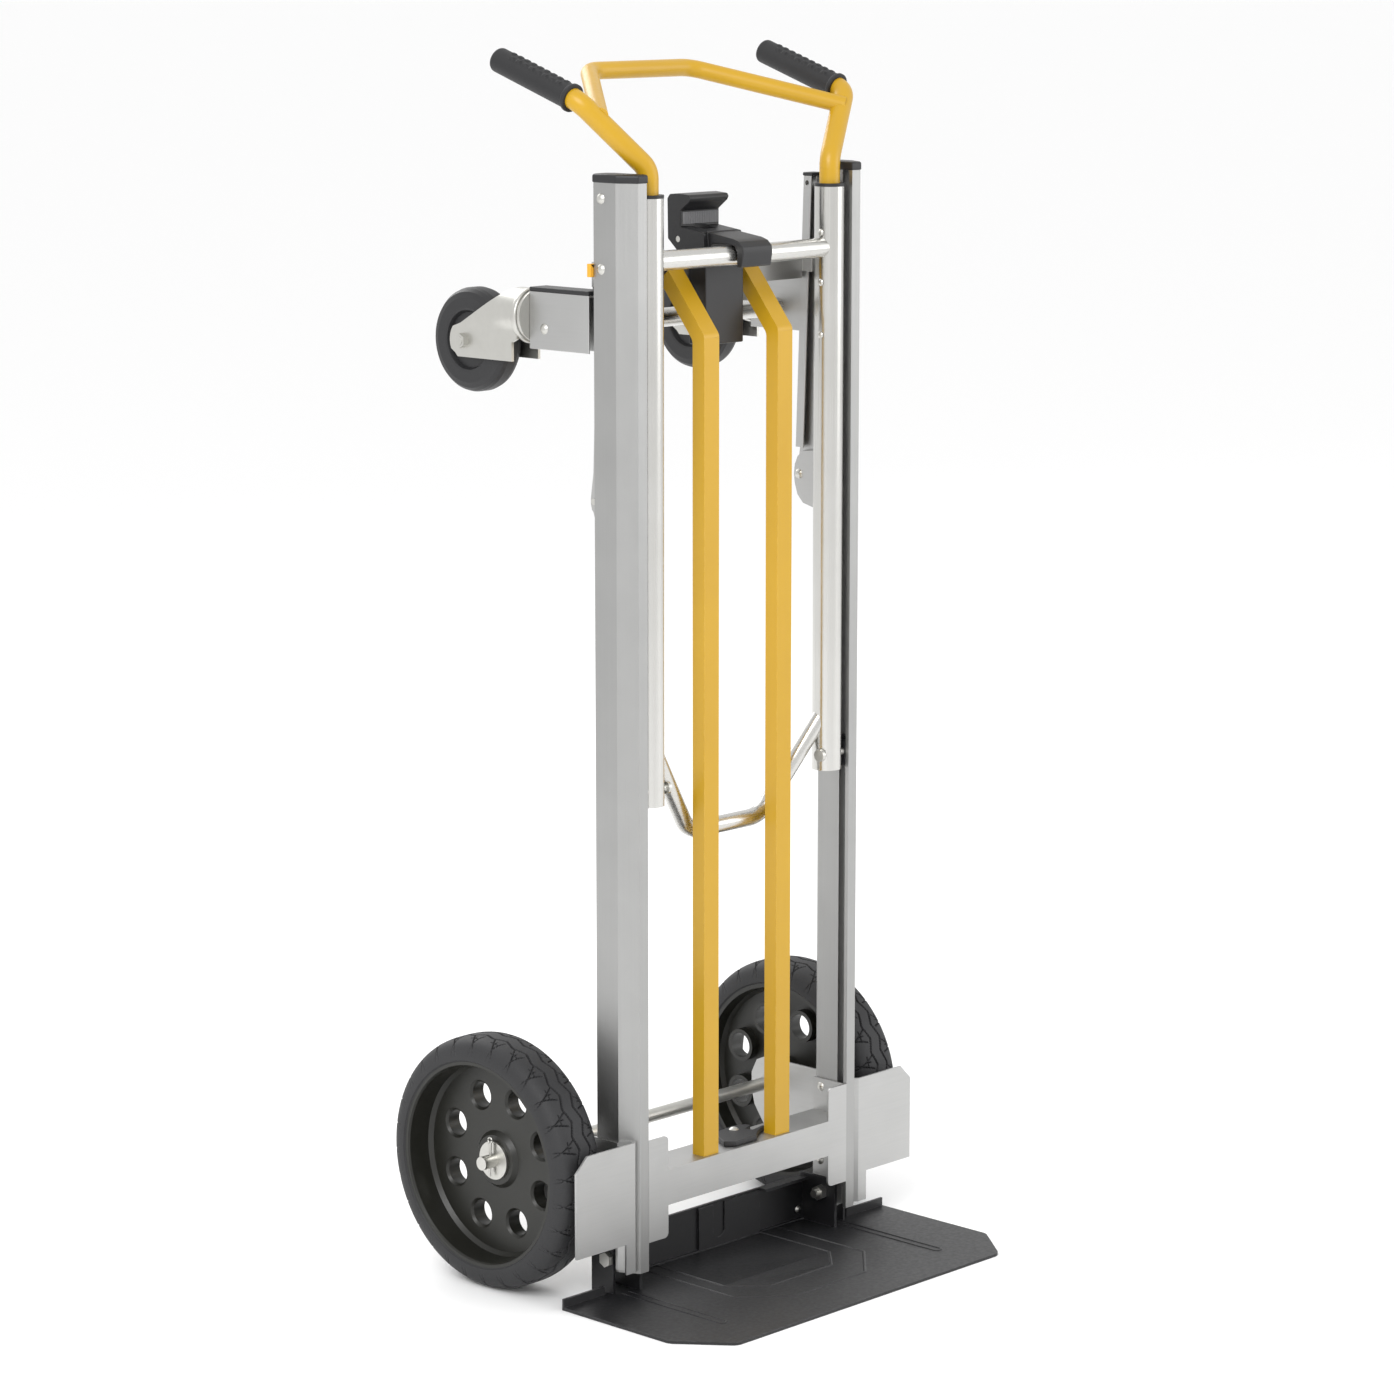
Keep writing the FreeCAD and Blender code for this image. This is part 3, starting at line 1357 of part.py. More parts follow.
def leg_cap(label):
    """A moulded cap over both sections of a leg, with a plug in the box section."""
    gauge = D["strut_gauge"]
    front = D["strut_front"]
    top = D["strut_top"]
    lid = box(
        label + "_lid",
        (D["strut_inner"] - 0.2, D["strut_outer"] + 0.2),
        (front - 0.2, front + 11.6),
        (top, top + 3.4),
    )
    plug = box(
        label + "_plug",
        (D["strut_side"] + gauge, D["strut_outer"] - gauge),
        (front + gauge, front + 11.4 - gauge),
        (top - 10, top + 1),
    )
    return fuse(label, lid, plug)


def leg_room(label, low, high):
    """The room a leg takes where a bracket and its cover fit round it."""
    gap = 0.1
    ends = strut_loop(-LEG_HALF - 12, LEG_HALF + gap, low, high)
    inner = D["bracket_inner"] - 1
    side = D["strut_side"] + D["strut_gauge"] + gap
    channel = slab(label + "_channel_room", "yz", [ends], inner, side)
    front = D["strut_front"]
    depth = (front - 1, front + 11.4 + gap)
    tube = box(label + "_tube_room", (inner, D["strut_outer"] + gap), depth, (low, high))
    return fuse(label + "_room", channel, tube)


def caster_bracket(label):
    """A pressed channel, open below, that carries a caster behind each leg."""
    inner = D["bracket_inner"]
    outer = D["bracket_outer"]
    gauge = D["plate_gauge"]
    front = 27.7
    low = D["bracket_low"]
    high = D["bracket_high"]
    block = box(label + "_block", (inner, outer), (front, D["bracket_back"]), (low, high))
    space = box(
        label + "_space",
        (inner + gauge, outer - gauge),
        (front - 1, D["bracket_back"] - gauge),
        (low - 1, high - gauge),
    )
    room = leg_room(label, low - 2, high + 2)
    spot = (D["swivel_middle"], D["bracket_back"] - 4, D["swivel_height"])
    bore = rod(label + "_kingpin_hole", "y", 5, spot, 6)
    spot = (outer - 4, 85.7, 907.5)
    rivet_hole = rod(label + "_rivet_hole", "x", RIVET_SHANK, spot, 6)
    return cut(label, block, space, room, bore, rivet_hole)


def bracket_cap(label):
    low = D["bracket_high"]
    high = low + 4
    width = (D["bracket_inner"], D["bracket_outer"])
    strip = box(label + "_strip", width, (27.7, D["bracket_back"]), (low, high))
    return cut(label, strip, leg_room(label, low - 1, high + 1))


def caster_rivets():
    pieces = []
    face = mm("bracket_outer")
    grip = mm("plate_gauge")
    for side, sign in SIDES.items():
        spot = VECTOR(sign * face, 85.7, 907.5)
        pieces.append(dome(f"bracket_rivet_{side}", "x", sign, spot, 5, RIVET_SHANK, grip))
    return group("bracket_rivet_set", *pieces)


def caster_race(label):
    """Upper bearing plate with the kingpin on which the fork swivels."""
    centre = (D["swivel_middle"], D["bracket_back"], D["swivel_height"])
    plate = rod(label + "_plate", "y", 24, centre, 3.6)
    spot = (D["swivel_middle"], D["bracket_back"] - 4, D["swivel_height"])
    pin = rod(label + "_pin", "y", 5, spot, 15.4)
    spot = (D["swivel_middle"], D["bracket_back"] + 11.4, D["swivel_height"])
    head = rod(label + "_head", "y", 8, spot, 2.4)
    return fuse(label, plate, pin, head)


plate_right = pivot_plate("pivot_plate_right")
node("pivot_plates", group(
    "pivot_plate_set", plate_right, mirrored("pivot_plate_left", plate_right)
))
node("pivot_pins", pivot_pins())
pair("caster_leg", caster_leg)
leg_cap_right = leg_cap("leg_cap_right")
node("leg_caps", group("leg_cap_set", leg_cap_right, mirrored("leg_cap_left", leg_cap_right)))
pair("caster_bracket", caster_bracket)
bracket_cap_right = bracket_cap("bracket_cap_right")
node("bracket_caps", group(
    "bracket_cap_set", bracket_cap_right, mirrored("bracket_cap_left", bracket_cap_right)
))
node(
    "caster_cross_tube",
    ring("tie_tube", D["tie_radius"] - 1.6, D["tie_radius"], -D["bracket_inner"],
         D["bracket_inner"] * 2, 70.0, 910.0),
)
node("caster_rivets", caster_rivets())
race_right = caster_race("caster_race_right")
node("caster_races", group("race_set", race_right, mirrored("caster_race_left", race_right)))


# %% casters: fork, axle bolt and wheel
def caster_fork(label):
    middle = D["swivel_middle"]
    face = D["bracket_back"]
    inner = D["caster_half"] + 1.5
    outer = inner + 3
    height = D["caster_height"]
    back = D["caster_back"]
    swivel = D["swivel_height"]
    head_low = (middle, face + 4.2, swivel)
    cup = rod(label + "_cup", "y", 26, head_low, 6.8)
    side = [
        (face + 5, swivel - 21), (face + 18, height - 14.5), (back + 13, height - 16),
        (back + 20, height - 9), (back + 20, height + 1), (back + 10, height + 13),
        (back - 36, height + 41), (face + 22, swivel + 25.5), (face + 5, swivel + 25.5),
    ]
    near = slab(label + "_near", "yz", [side], middle - outer, middle - inner)
    far = slab(label + "_far", "yz", [side], middle + inner, middle + outer)
    parts = [cup, near, far]
    bores = [rod(label + "_king_bore", "y", 5.05, (middle, face, swivel), 20)]
    bores.append(rod(label + "_head_space", "y", 9, (middle, face + 11, swivel), 6))
    spot = (middle - 20, back, height)
    bores.append(rod(label + "_axle_hole", "x", 4, spot, 40))
    return cut(label, fuse(label + "_body", *parts), *bores)


def caster_axle(label):
    """Bolt and nut through the fork and the caster wheel."""
    low = D["swivel_middle"] - D["caster_half"] - 9
    y = D["caster_back"]
    z = D["caster_height"]
    head = hexagon(label + "_head", "x", 7, (low, y, z), 4.5)
    shank = rod(label + "_shank", "x", 4, (low + 4, y, z), D["caster_half"] * 2 + 16)
    outer = D["swivel_middle"] + D["caster_half"] + 4.5
    nut = hexagon(label + "_nut", "x", 7, (outer, y, z), 6)
    return fuse(label, head, shank, nut)


def caster_wheel(label):
    half = D["caster_half"]
    top = D["caster_radius"]
    profile = [
        (-half, 4.05), (half, 4.05), (half, 11.0), (half - 3.5, 12.5), (half - 4.5, 26.0),
        (half - 0.6, 28.0), (half, 30.0), (half, top - 9), (half - 1.5, top - 4),
        (half - 5, top - 1.2), (half - 9, top), (9 - half, top), (5 - half, top - 1.2),
        (1.5 - half, top - 4), (-half, top - 9), (-half, 30.0), (0.6 - half, 28.0),
        (4.5 - half, 26.0), (3.5 - half, 12.5), (-half, 11.0),
    ]
    centre = (D["swivel_middle"], D["caster_back"], D["caster_height"])
    return turned(label, "x", centre, profile)


pair("caster_fork", caster_fork)
pair("caster_axle", caster_axle)
pair("caster_wheel", caster_wheel)


# %% thumb buttons that free the caster frame from the rails
def lock_button(label):
    low, high = BUTTON_HEIGHTS
    tab = box(label + "_tab", (152.0, 164.0), (D["rail_back"] + 0.4, 26.0), (low, high))
    stem = box(
        label + "_stem", (152.5, 157.5), (15.0, D["rail_back"] + 1), (low + 3, high - 3)
    )
    return fuse(label, tab, stem)


pair("lock_button", lock_button)


# %% check every object, then write one file per piece
def check_document():
    DOC.recompute()
    for obj in DOC.Objects:
        if "Invalid" in obj.State or "Error" in obj.State:
            raise RuntimeError(f"{obj.Name} did not build: {obj.State}")
    for name, obj in NODES.items():
        shape = obj.Shape
        if shape.isNull() or not shape.isValid() or not shape.Solids:
            raise RuntimeError(f"{name} has no valid solid")


def export_nodes():
    os.makedirs("parts", exist_ok=True)
    for name, obj in NODES.items():
        obj.Shape.exportStep(f"parts/{name}.step")
        print(f"{name}: {len(obj.Shape.Solids)} solid(s), {obj.Shape.Volume:.0f} mm3")
    print(len(NODES), "nodes")


check_document()
export_nodes()
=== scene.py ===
# %% [markdown]
# # Convertible hand truck
# Two slotted aluminium rails carry everything: a steel toe plate, two yellow slats for the load
# to lean on, a handle that slides and folds, and a pair of casters on a frame at the back.
# The engineering model arrives as a fixed frame. This notebook gives every piece of it a real
# surface, and makes new meshes where the real piece has detail that the frame leaves plain.

# %% Load the frame
import json
import math

import bmesh
import bpy
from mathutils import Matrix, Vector


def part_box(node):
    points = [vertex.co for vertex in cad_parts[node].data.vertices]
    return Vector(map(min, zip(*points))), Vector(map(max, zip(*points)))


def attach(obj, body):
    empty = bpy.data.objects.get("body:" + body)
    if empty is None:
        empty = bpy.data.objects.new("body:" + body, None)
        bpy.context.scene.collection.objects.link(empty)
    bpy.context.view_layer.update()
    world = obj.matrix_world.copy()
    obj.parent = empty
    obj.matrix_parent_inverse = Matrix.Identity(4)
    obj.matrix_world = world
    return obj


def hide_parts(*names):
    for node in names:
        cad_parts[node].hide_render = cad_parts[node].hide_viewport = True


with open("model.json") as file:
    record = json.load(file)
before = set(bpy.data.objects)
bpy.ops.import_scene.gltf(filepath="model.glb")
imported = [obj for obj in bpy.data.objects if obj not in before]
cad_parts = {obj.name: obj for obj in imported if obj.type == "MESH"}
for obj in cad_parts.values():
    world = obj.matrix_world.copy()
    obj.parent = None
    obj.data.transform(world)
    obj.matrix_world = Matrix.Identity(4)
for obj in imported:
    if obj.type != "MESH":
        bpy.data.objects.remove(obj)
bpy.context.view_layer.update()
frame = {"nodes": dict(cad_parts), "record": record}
MM = 0.001

# %% [markdown]
# ## Small helpers
# Colours are chosen as the sRGB hex values that a screen shows, but the shader wants linear
# light, so one function converts them. Every material is a little network of nodes, and one
# function adds a node, sets its properties and connects its inputs, so each network below
# reads as a list of what feeds what.


# %% Colour and node helpers
def linear(hex_colour):
    """Turn "#RRGGBB" into linear red, green, blue and alpha."""
    channels = [int(hex_colour[place : place + 2], 16) / 255 for place in (1, 3, 5)]
    curved = [c / 12.92 if c <= 0.04045 else ((c + 0.055) / 1.055) ** 2.4 for c in channels]
    return (*curved, 1.0)


def add_node(tree, kind, props=None, **inputs):
    """Add a shader node; an input is a value, or a socket to link from.

    Inputs are given by name, or by number as i0, i1 and so on where names repeat.
    """
    item = tree.nodes.new(kind)
    for name, value in (props or {}).items():
        setattr(item, name, value)
    for name, value in inputs.items():
        socket = item.inputs[int(name[1:]) if name[0] == "i" and name[1:].isdigit() else name]
        if isinstance(value, bpy.types.NodeSocket):
            tree.links.new(value, socket)
        else:
            socket.default_value = value
    return item


def start_material(name, **surface):
    """A material with one Principled shader; returns the material, its tree and the shader."""
    material = bpy.data.materials.new(name)
    material.use_nodes = True
    tree = material.node_tree
    shader = tree.nodes["Principled BSDF"]
    for key, value in surface.items():
        shader.inputs[key.replace("_", " ")].default_value = value
    return material, tree, shader


print("yellow #C3991A is", [round(c, 3) for c in linear("#C3991A")])


# %% [markdown]
# ## Patterns measured in millimetres
# A noise texture has no size of its own: its scale is how many lumps fit in one metre. So
# every pattern here starts from a real spacing, and a stretched pattern, such as the drawing
# lines along an extrusion, has a different spacing on each axis.


# %% Pattern helpers
def grain(tree, spacing_mm, detail=3.0, roughness=0.55):
    """Noise whose lumps are spacing_mm apart; a triple gives a spacing for X, Y and Z."""
    spacing = spacing_mm if isinstance(spacing_mm, tuple) else (spacing_mm,) * 3
    place = add_node(tree, "ShaderNodeTexCoord")
    stretch = add_node(tree, "ShaderNodeMapping", Vector=place.outputs["Object"])
    stretch.inputs["Scale"].default_value = [1 / (size * MM) for size in spacing]
    noise = add_node(
        tree,
        "ShaderNodeTexNoise",
        Vector=stretch.outputs["Vector"],
        Scale=1.0,
        Detail=detail,
        Roughness=roughness,
    )
    return noise.outputs["Fac"]


def spread(tree, factor, low, high, span=(0.3, 0.7)):
    """Map a pattern's middle range to numbers between low and high."""
    ranged = add_node(tree, "ShaderNodeMapRange", Value=factor)
    ranged.inputs["From Min"].default_value = span[0]
    ranged.inputs["From Max"].default_value = span[1]
    ranged.inputs["To Min"].default_value = low
    ranged.inputs["To Max"].default_value = high
    return ranged.outputs["Result"]


def blend_colours(tree, factor, first, second):
    """Mix two hex colours by a pattern."""
    mix = add_node(tree, "ShaderNodeMix", {"data_type": "RGBA"}, i0=factor)
    mix.inputs[6].default_value = linear(first)
    mix.inputs[7].default_value = linear(second)
    return mix.outputs[2]


def raise_surface(tree, shader, height, depth_mm, strength=1.0):
    """Bump the surface by a pattern that is depth_mm deep."""
    bump = add_node(tree, "ShaderNodeBump", Height=height, Strength=strength)
    bump.inputs["Distance"].default_value = depth_mm * MM
    tree.links.new(bump.outputs["Normal"], shader.inputs["Normal"])


def edges_for_wear_and_highlight(tree, radius_mm):
    """Find convex edges, where handling wears a finish and where a painted highlight lightens it: a
    bevelled normal leaves the flat one.
    """
    soft = add_node(tree, "ShaderNodeBevel", {"samples": 4}, Radius=radius_mm * MM)
    flat = add_node(tree, "ShaderNodeNewGeometry")
    turn = add_node(
        tree,
        "ShaderNodeVectorMath",
        {"operation": "DOT_PRODUCT"},
        i0=soft.outputs["Normal"],
        i1=flat.outputs["Normal"],
    )
    return spread(tree, turn.outputs["Value"], 1.0, 0.0, span=(0.82, 0.98))


print("pattern helpers ready")

# %% [markdown]
# ## Anodised aluminium
# The rails are extruded, so faint die lines run along their length, and then anodised, which
# leaves a fine even satin. The sheet parts are brushed across before they are bent, and the
# handle tubes are drawn and polished, so they reflect long bright bands. All three are the same
# metal, with a different grain direction, roughness and depth.


# %% Aluminium finishes
def aluminium(name, tint, shade, roughness, lines_mm, depth_mm, tooth_mm=0.35):
    """Anodised aluminium with lines whose spacing along X, Y and Z is lines_mm."""
    material, tree, shader = start_material(name, Metallic=1.0)
    lines = grain(tree, lines_mm, detail=4.0)
    tooth = grain(tree, tooth_mm, detail=2.0)
    cloud = grain(tree, 60.0, detail=2.0)
    tree.links.new(blend_colours(tree, cloud, tint, shade), shader.inputs["Base Color"])
    gloss = spread(tree, lines, roughness - 0.05, roughness + 0.06)
    tree.links.new(gloss, shader.inputs["Roughness"])
    both = add_node(tree, "ShaderNodeMath", {"operation": "ADD"}, i0=lines, i1=tooth)
    raise_surface(tree, shader, both.outputs["Value"], depth_mm, 0.5)
    return material


FINISHES = {
    "extrusion_aluminium": aluminium(
        "anodised extrusion", "#A9A9A8", "#9F9F9E", 0.42, (1.2, 1.2, 160.0), 0.03
    ),
    "sheet_aluminium": aluminium(
        "brushed anodised sheet", "#BABAB9", "#AFAFAE", 0.42, (45.0, 45.0, 0.9), 0.03
    ),
    "tube_aluminium": aluminium(
        "polished drawn tube", "#CFCECB", "#C3C2BE", 0.24, (1.6, 1.6, 220.0), 0.01
    ),
}
CROSSWAYS_TUBE = aluminium(
    "polished tube lying across", "#CFCECB", "#C3C2BE", 0.26, (220.0, 1.6, 1.6), 0.006
)
print("aluminium:", ", ".join(FINISHES))

# %% [markdown]
# ## Bright zinc
# The forks, bolts, washers and pins are steel with a thin zinc plating. It is brighter and
# harder than the aluminium, with slow cloudy changes in gloss where the plating is thicker.


# %% Zinc finish
def bright_zinc():
    """Zinc plating whose gloss changes slowly from place to place."""
    material, tree, shader = start_material("bright zinc plating", Metallic=1.0)
    cloud = grain(tree, 14.0, detail=5.0)
    tooth = grain(tree, 0.5)
    tree.links.new(blend_colours(tree, cloud, "#CBCAC5", "#BDBCB7"), shader.inputs["Base Color"])
    tree.links.new(spread(tree, cloud, 0.3, 0.4), shader.inputs["Roughness"])
    raise_surface(tree, shader, tooth, 0.01, 0.5)
    return material


FINISHES["zinc_steel"] = bright_zinc()
print("zinc ready")

# %% [markdown]
# ## Powder coat
# Powder is sprayed on dry and melts into a thick skin with a gentle orange peel, about a
# millimetre and a half from lump to lump. It pulls thin on sharp edges, where it rubs through
# first, and the lighter colour on those edges is also a painted highlight. The yellow is glossy
# enough for soft highlights; the black on the toe plate is satin.


# %% Powder coat finishes
def powder_coat(name, tone, deep, roughness, edge_wear_and_highlight, wear_and_highlight_mm=0.8):
    """A thick orange-peel coat, lightened in patches along its edges towards the edge colour:
    partly rubbed wear, partly a painted highlight.
    """
    material, tree, shader = start_material(name, IOR=1.5)
    peel = grain(tree, 1.5, detail=2.0)
    cloud = grain(tree, 90.0, detail=3.0)
    edges = edges_for_wear_and_highlight(tree, wear_and_highlight_mm)
    patchy = add_node(
        tree,
        "ShaderNodeMath",
        {"operation": "MULTIPLY"},
        i0=edges,
        i1=spread(tree, grain(tree, 6.0), 0.0, 1.0, span=(0.42, 0.62)),
    )
    coat = blend_colours(tree, cloud, tone, deep)
    # Edges turn lighter in patches: partly rubbed wear, partly a painted highlight.
    mix = add_node(tree, "ShaderNodeMix", {"data_type": "RGBA"}, i0=patchy.outputs["Value"])
    tree.links.new(coat, mix.inputs[6])
    mix.inputs[7].default_value = linear(edge_wear_and_highlight)
    tree.links.new(mix.outputs[2], shader.inputs["Base Color"])
    gloss = spread(tree, grain(tree, 4.0), roughness - 0.04, roughness + 0.06)
    tree.links.new(gloss, shader.inputs["Roughness"])
    raise_surface(tree, shader, peel, 0.04, 0.5)
    return material


# The last colour of each coat is its lighter edge colour: rubbed wear and a painted highlight.
FINISHES["yellow_coat"] = powder_coat(
    "yellow powder coat", "#C3991A", "#B88E14", 0.34, "#D2AE4A"
)
FINISHES["black_coat"] = powder_coat(
    "black satin powder coat", "#1C1C1E", "#171719", 0.42, "#4C4C50", 1.2
)
print("powder coats ready")

# %% [markdown]
# ## Moulded plastic and rubber
# The hubs, caps and latch are nylon and polypropylene, moulded in steel tools whose fine spark
# texture shows as a dull, even grain. Rubber is rougher still and a little greyer, because dust
# stays in its pores.


# %% Plastic and rubber finishes
def moulded(name, tone, lighter, roughness, texture_mm, depth_mm, ior=1.5):
    """A moulded surface: fine tool texture, slow colour change, slight shine on its ridges."""
    material, tree, shader = start_material(name, IOR=ior)
    texture = grain(tree, texture_mm, detail=3.0, roughness=0.65)
    cloud = grain(tree, 35.0, detail=4.0)
    tree.links.new(blend_colours(tree, cloud, tone, lighter), shader.inputs["Base Color"])
    gloss = spread(tree, texture, roughness - 0.06, roughness + 0.08)
    tree.links.new(gloss, shader.inputs["Roughness"])
    raise_surface(tree, shader, texture, depth_mm, 0.6)
    return material


FINISHES["black_plastic"] = moulded("black nylon", "#151517", "#1D1D1F", 0.42, 0.7, 0.04)
FINISHES["grey_plastic"] = moulded("grey nylon", "#6A6A6C", "#757577", 0.45, 0.7, 0.03)
FINISHES["yellow_plastic"] = moulded("yellow nylon", "#E3A42C", "#D99A22", 0.4, 0.7, 0.03)
FINISHES["hub_plastic"] = moulded("dark polypropylene", "#181814", "#20201B", 0.38, 0.9, 0.04, 1.49)
FINISHES["tyre_rubber"] = moulded("tyre rubber", "#1B1B1D", "#262628", 0.62, 1.1, 0.06, 1.52)
FINISHES["caster_rubber"] = moulded("caster rubber", "#161618", "#202022", 0.5, 0.9, 0.04, 1.52)
FINISHES["grip_rubber"] = moulded("grip rubber", "#141416", "#1D1D1F", 0.6, 0.8, 0.06, 1.52)
print("moulded finishes ready")

# %% [markdown]
# ## Dress the frame
# Each piece of the frame already names its slot in the record, so one loop gives every piece
# its finish. Three tubes lie across the truck, so the drawing lines in their finish run along
# X. Pieces made further down are shaded smooth up to a sharp angle, so that a tube looks round
# and a cut edge stays crisp.

# %% Assign finishes to the frame's pieces
SLOTS = {part["node"]: part["material_slot"] for part in frame["record"]["subparts"]}
TUBES_ACROSS = ("handle_crossbar", "u_bar", "caster_cross_tube")


def smooth_by_angle(piece, degrees=32.0):
    """Smooth shading, with edges sharper than the angle kept crisp."""
    mesh = piece.data
    for face in mesh.polygons:
        face.use_smooth = True
    mesh.set_sharp_from_angle(angle=math.radians(degrees))


for name, piece in frame["nodes"].items():
    piece.data.materials.clear()
    piece.data.materials.append(FINISHES[SLOTS[name]])
for name in TUBES_ACROSS:
    frame["nodes"][name].data.materials[0] = CROSSWAYS_TUBE
print(len(SLOTS), "pieces dressed")

# %% [markdown]
# ## Meshes made here
# A turned piece, such as a tyre, is a ring of cross-sections. One function joins rows of points
# into a skin, another sweeps a round wire along a path, and every new piece below is built
# from one of them. Points closer than a micrometre are joined into one.


# %% Mesh helpers
SAME_POINT = 1e-6


def make_piece(name, vertices, faces, slot_name, body, smooth_angle=32.0):
    """A finished mesh piece that rides on a body and takes its slot's finish."""
    mesh = bpy.data.meshes.new(name)
    mesh.from_pydata(vertices, [], faces)
    shell = bmesh.new()
    shell.from_mesh(mesh)
    bmesh.ops.remove_doubles(shell, verts=shell.verts, dist=SAME_POINT)
    bmesh.ops.recalc_face_normals(shell, faces=shell.faces)
    shell.to_mesh(mesh)
    shell.free()
    piece = bpy.data.objects.new(name, mesh)
    bpy.context.scene.collection.objects.link(piece)
    mesh.materials.append(FINISHES[slot_name])
    smooth_by_angle(piece, smooth_angle)
    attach(piece, body)
    return piece


def grid_faces(rows, columns, close_rows=False, close_columns=False):
    """Quads over a grid of points, wrapped round where asked."""
    faces = []
    for row in range(rows if close_rows else rows - 1):
        for column in range(columns if close_columns else columns - 1):
            ahead_row = (row + 1) % rows
            ahead = (column + 1) % columns
            faces.append(
                (
                    row * columns + column,
                    row * columns + ahead,
                    ahead_row * columns + ahead,
                    ahead_row * columns + column,
                )
            )
    return faces


def wire_along(name, path, radius_mm, slot_name, body, sides=10):
    """A round wire of one thickness through a list of points."""
    vertices = []
    for index, spot in enumerate(path):
        ahead = path[min(index + 1, len(path) - 1)] - path[max(index - 1, 0)]
        turn = ahead.to_track_quat("Z", "X").to_matrix()
        for side in range(sides):
            around = 2 * math.pi * side / sides
            out = Vector((math.cos(around), math.sin(around), 0.0)) * radius_mm * MM
            vertices.append(tuple(spot + turn @ out))
    faces = grid_faces(len(path), sides, close_columns=True)
    faces.append(tuple(range(sides)))
    faces.append(tuple(range(len(vertices) - sides, len(vertices))))
    return make_piece(name, vertices, faces, slot_name, body, 60.0)


print("mesh helpers ready")

# %% [markdown]
# ## Edges that catch the light
# No real edge is perfectly sharp: extrusions leave the die with a small radius, sheared sheet is
# tumbled, and mouldings need rounded corners to leave their tool. Each boxy piece gets a copy of
# its frame mesh with its long straight edges rolled over by a fraction of a millimetre, and the
# copy stands in for the piece.

# %% Roll over the long edges
BODY_OF = {
    node: body for body, nodes in frame["record"]["behaviour"]["bodies"].items() for node in nodes
}
EDGE_WIDTHS = {
    "rail_left": 0.7,
    "rail_right": 0.7,
    "wheel_bracket_left": 0.6,
    "wheel_bracket_right": 0.6,
    "lower_crossbar": 0.6,
    "slat_left": 1.2,
    "slat_right": 1.2,
    "slat_top_bar": 0.7,
    "toe_plate": 0.8,
    "rail_cap_left": 1.6,
    "rail_cap_right": 1.6,
    "latch_post": 1.2,
    "push_latch": 1.9,
    "swing_catch": 0.9,
    "pivot_plates": 0.5,
    "caster_leg_left": 0.5,
    "caster_leg_right": 0.5,
    "caster_bracket_left": 0.6,
    "caster_bracket_right": 0.6,
    "bracket_caps": 0.9,
    "leg_caps": 0.9,
    "lock_button_left": 1.4,
    "lock_button_right": 1.4,
}
SHORTEST_EDGE = 4.0
FLAT_ANGLE = 1.0
SHARP_ANGLE = 25.0


def soften(name, width_mm):
    """Copy a piece's mesh, join its coplanar triangles and bevel its long sharp edges."""
    shell = bmesh.new()
    shell.from_mesh(frame["nodes"][name].data)
    bmesh.ops.remove_doubles(shell, verts=shell.verts, dist=SAME_POINT)
    bmesh.ops.dissolve_limit(
        shell, angle_limit=math.radians(FLAT_ANGLE), verts=shell.verts, edges=shell.edges
    )
    sharp = [
        edge
        for edge in shell.edges
        if len(edge.link_faces) == 2
        and edge.calc_face_angle() > math.radians(SHARP_ANGLE)
        and edge.calc_length() > SHORTEST_EDGE * MM
    ]
    bmesh.ops.bevel(
        shell,
        geom=sharp,
        offset=width_mm * MM,
        offset_type="OFFSET",
        segments=2,
        profile=0.5,
        affect="EDGES",
        clamp_overlap=True,
    )
    mesh = bpy.data.meshes.new(f"soft_{name}")
    shell.to_mesh(mesh)
    shell.free()
    piece = bpy.data.objects.new(f"soft_{name}", mesh)
    bpy.context.scene.collection.objects.link(piece)
    mesh.materials.append(FINISHES[SLOTS[name]])
    smooth_by_angle(piece, 40.0)
    weights = piece.modifiers.new("large faces set the shading", "WEIGHTED_NORMAL")
    weights.keep_sharp = True
    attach(piece, BODY_OF[name])
    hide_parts(name)
    return piece


for name, width_mm in EDGE_WIDTHS.items():
    piece = soften(name, width_mm)
    print(piece.name, len(piece.data.polygons), "faces")

# %% [markdown]
# ## Tyres
# The tread is cut into a round-shouldered casing: two zigzag grooves run round the middle, and
# a pair of slanted sipes climbs each shoulder, with a short branch and a bar between them. The
# casing is a ring of cross-sections, fine enough for each groove to be real geometry, and a
# formula says how deep the rubber is cut at each point round the wheel and across it. Places
# across the tread are in mm from the wheel's middle plane; places round it are in repeats.

# %% Tyre measurements
WHEEL_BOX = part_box("tyre_right")
WHEEL_CENTRE = (WHEEL_BOX[0] + WHEEL_BOX[1]) / 2
WHEEL_RADIUS = (WHEEL_BOX[1].z - WHEEL_BOX[0].z) / 2 / MM
TYRE_HALF = (WHEEL_BOX[1].x - WHEEL_BOX[0].x) / 2 / MM
RIM_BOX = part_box("hub_right")
RIM_RADIUS = (RIM_BOX[1].z - RIM_BOX[0].z) / 2 / MM
TREAD_REPEATS = 28
STEPS_PER_REPEAT = 30
GROOVE_DEPTH = 2.6
ZIGZAG_PLACE = 7.0
ZIGZAG_SWING = 2.6
ZIGZAG_HALF = 1.0
SIPE_DEPTH = 1.9
SIPE_FROM = 9.0
SIPE_SPAN = 20.0
SIPE_HALF = 0.7
SIPE_STARTS_AND_SLANTS = ((0.1, 0.55), (0.62, -0.25))
BRANCH_PLACE = 0.36
BRANCH_FROM = 12.5
BRANCH_TO = 17.5
BAR_FROM = 10.0
BAR_ACROSS = 16.0
BAR_REACH = 0.22
BRANCH_HALF = 0.65
CUT_SHADE = 0.9
CROWN_STEPS = 96
CASING_HEIGHT = 21.0
CUT_FADES_AT = 17.0
CUT_FADES_OVER = 3.0
print("wheel radius", round(WHEEL_RADIUS, 1), "mm, half width", round(TYRE_HALF, 1), "mm")


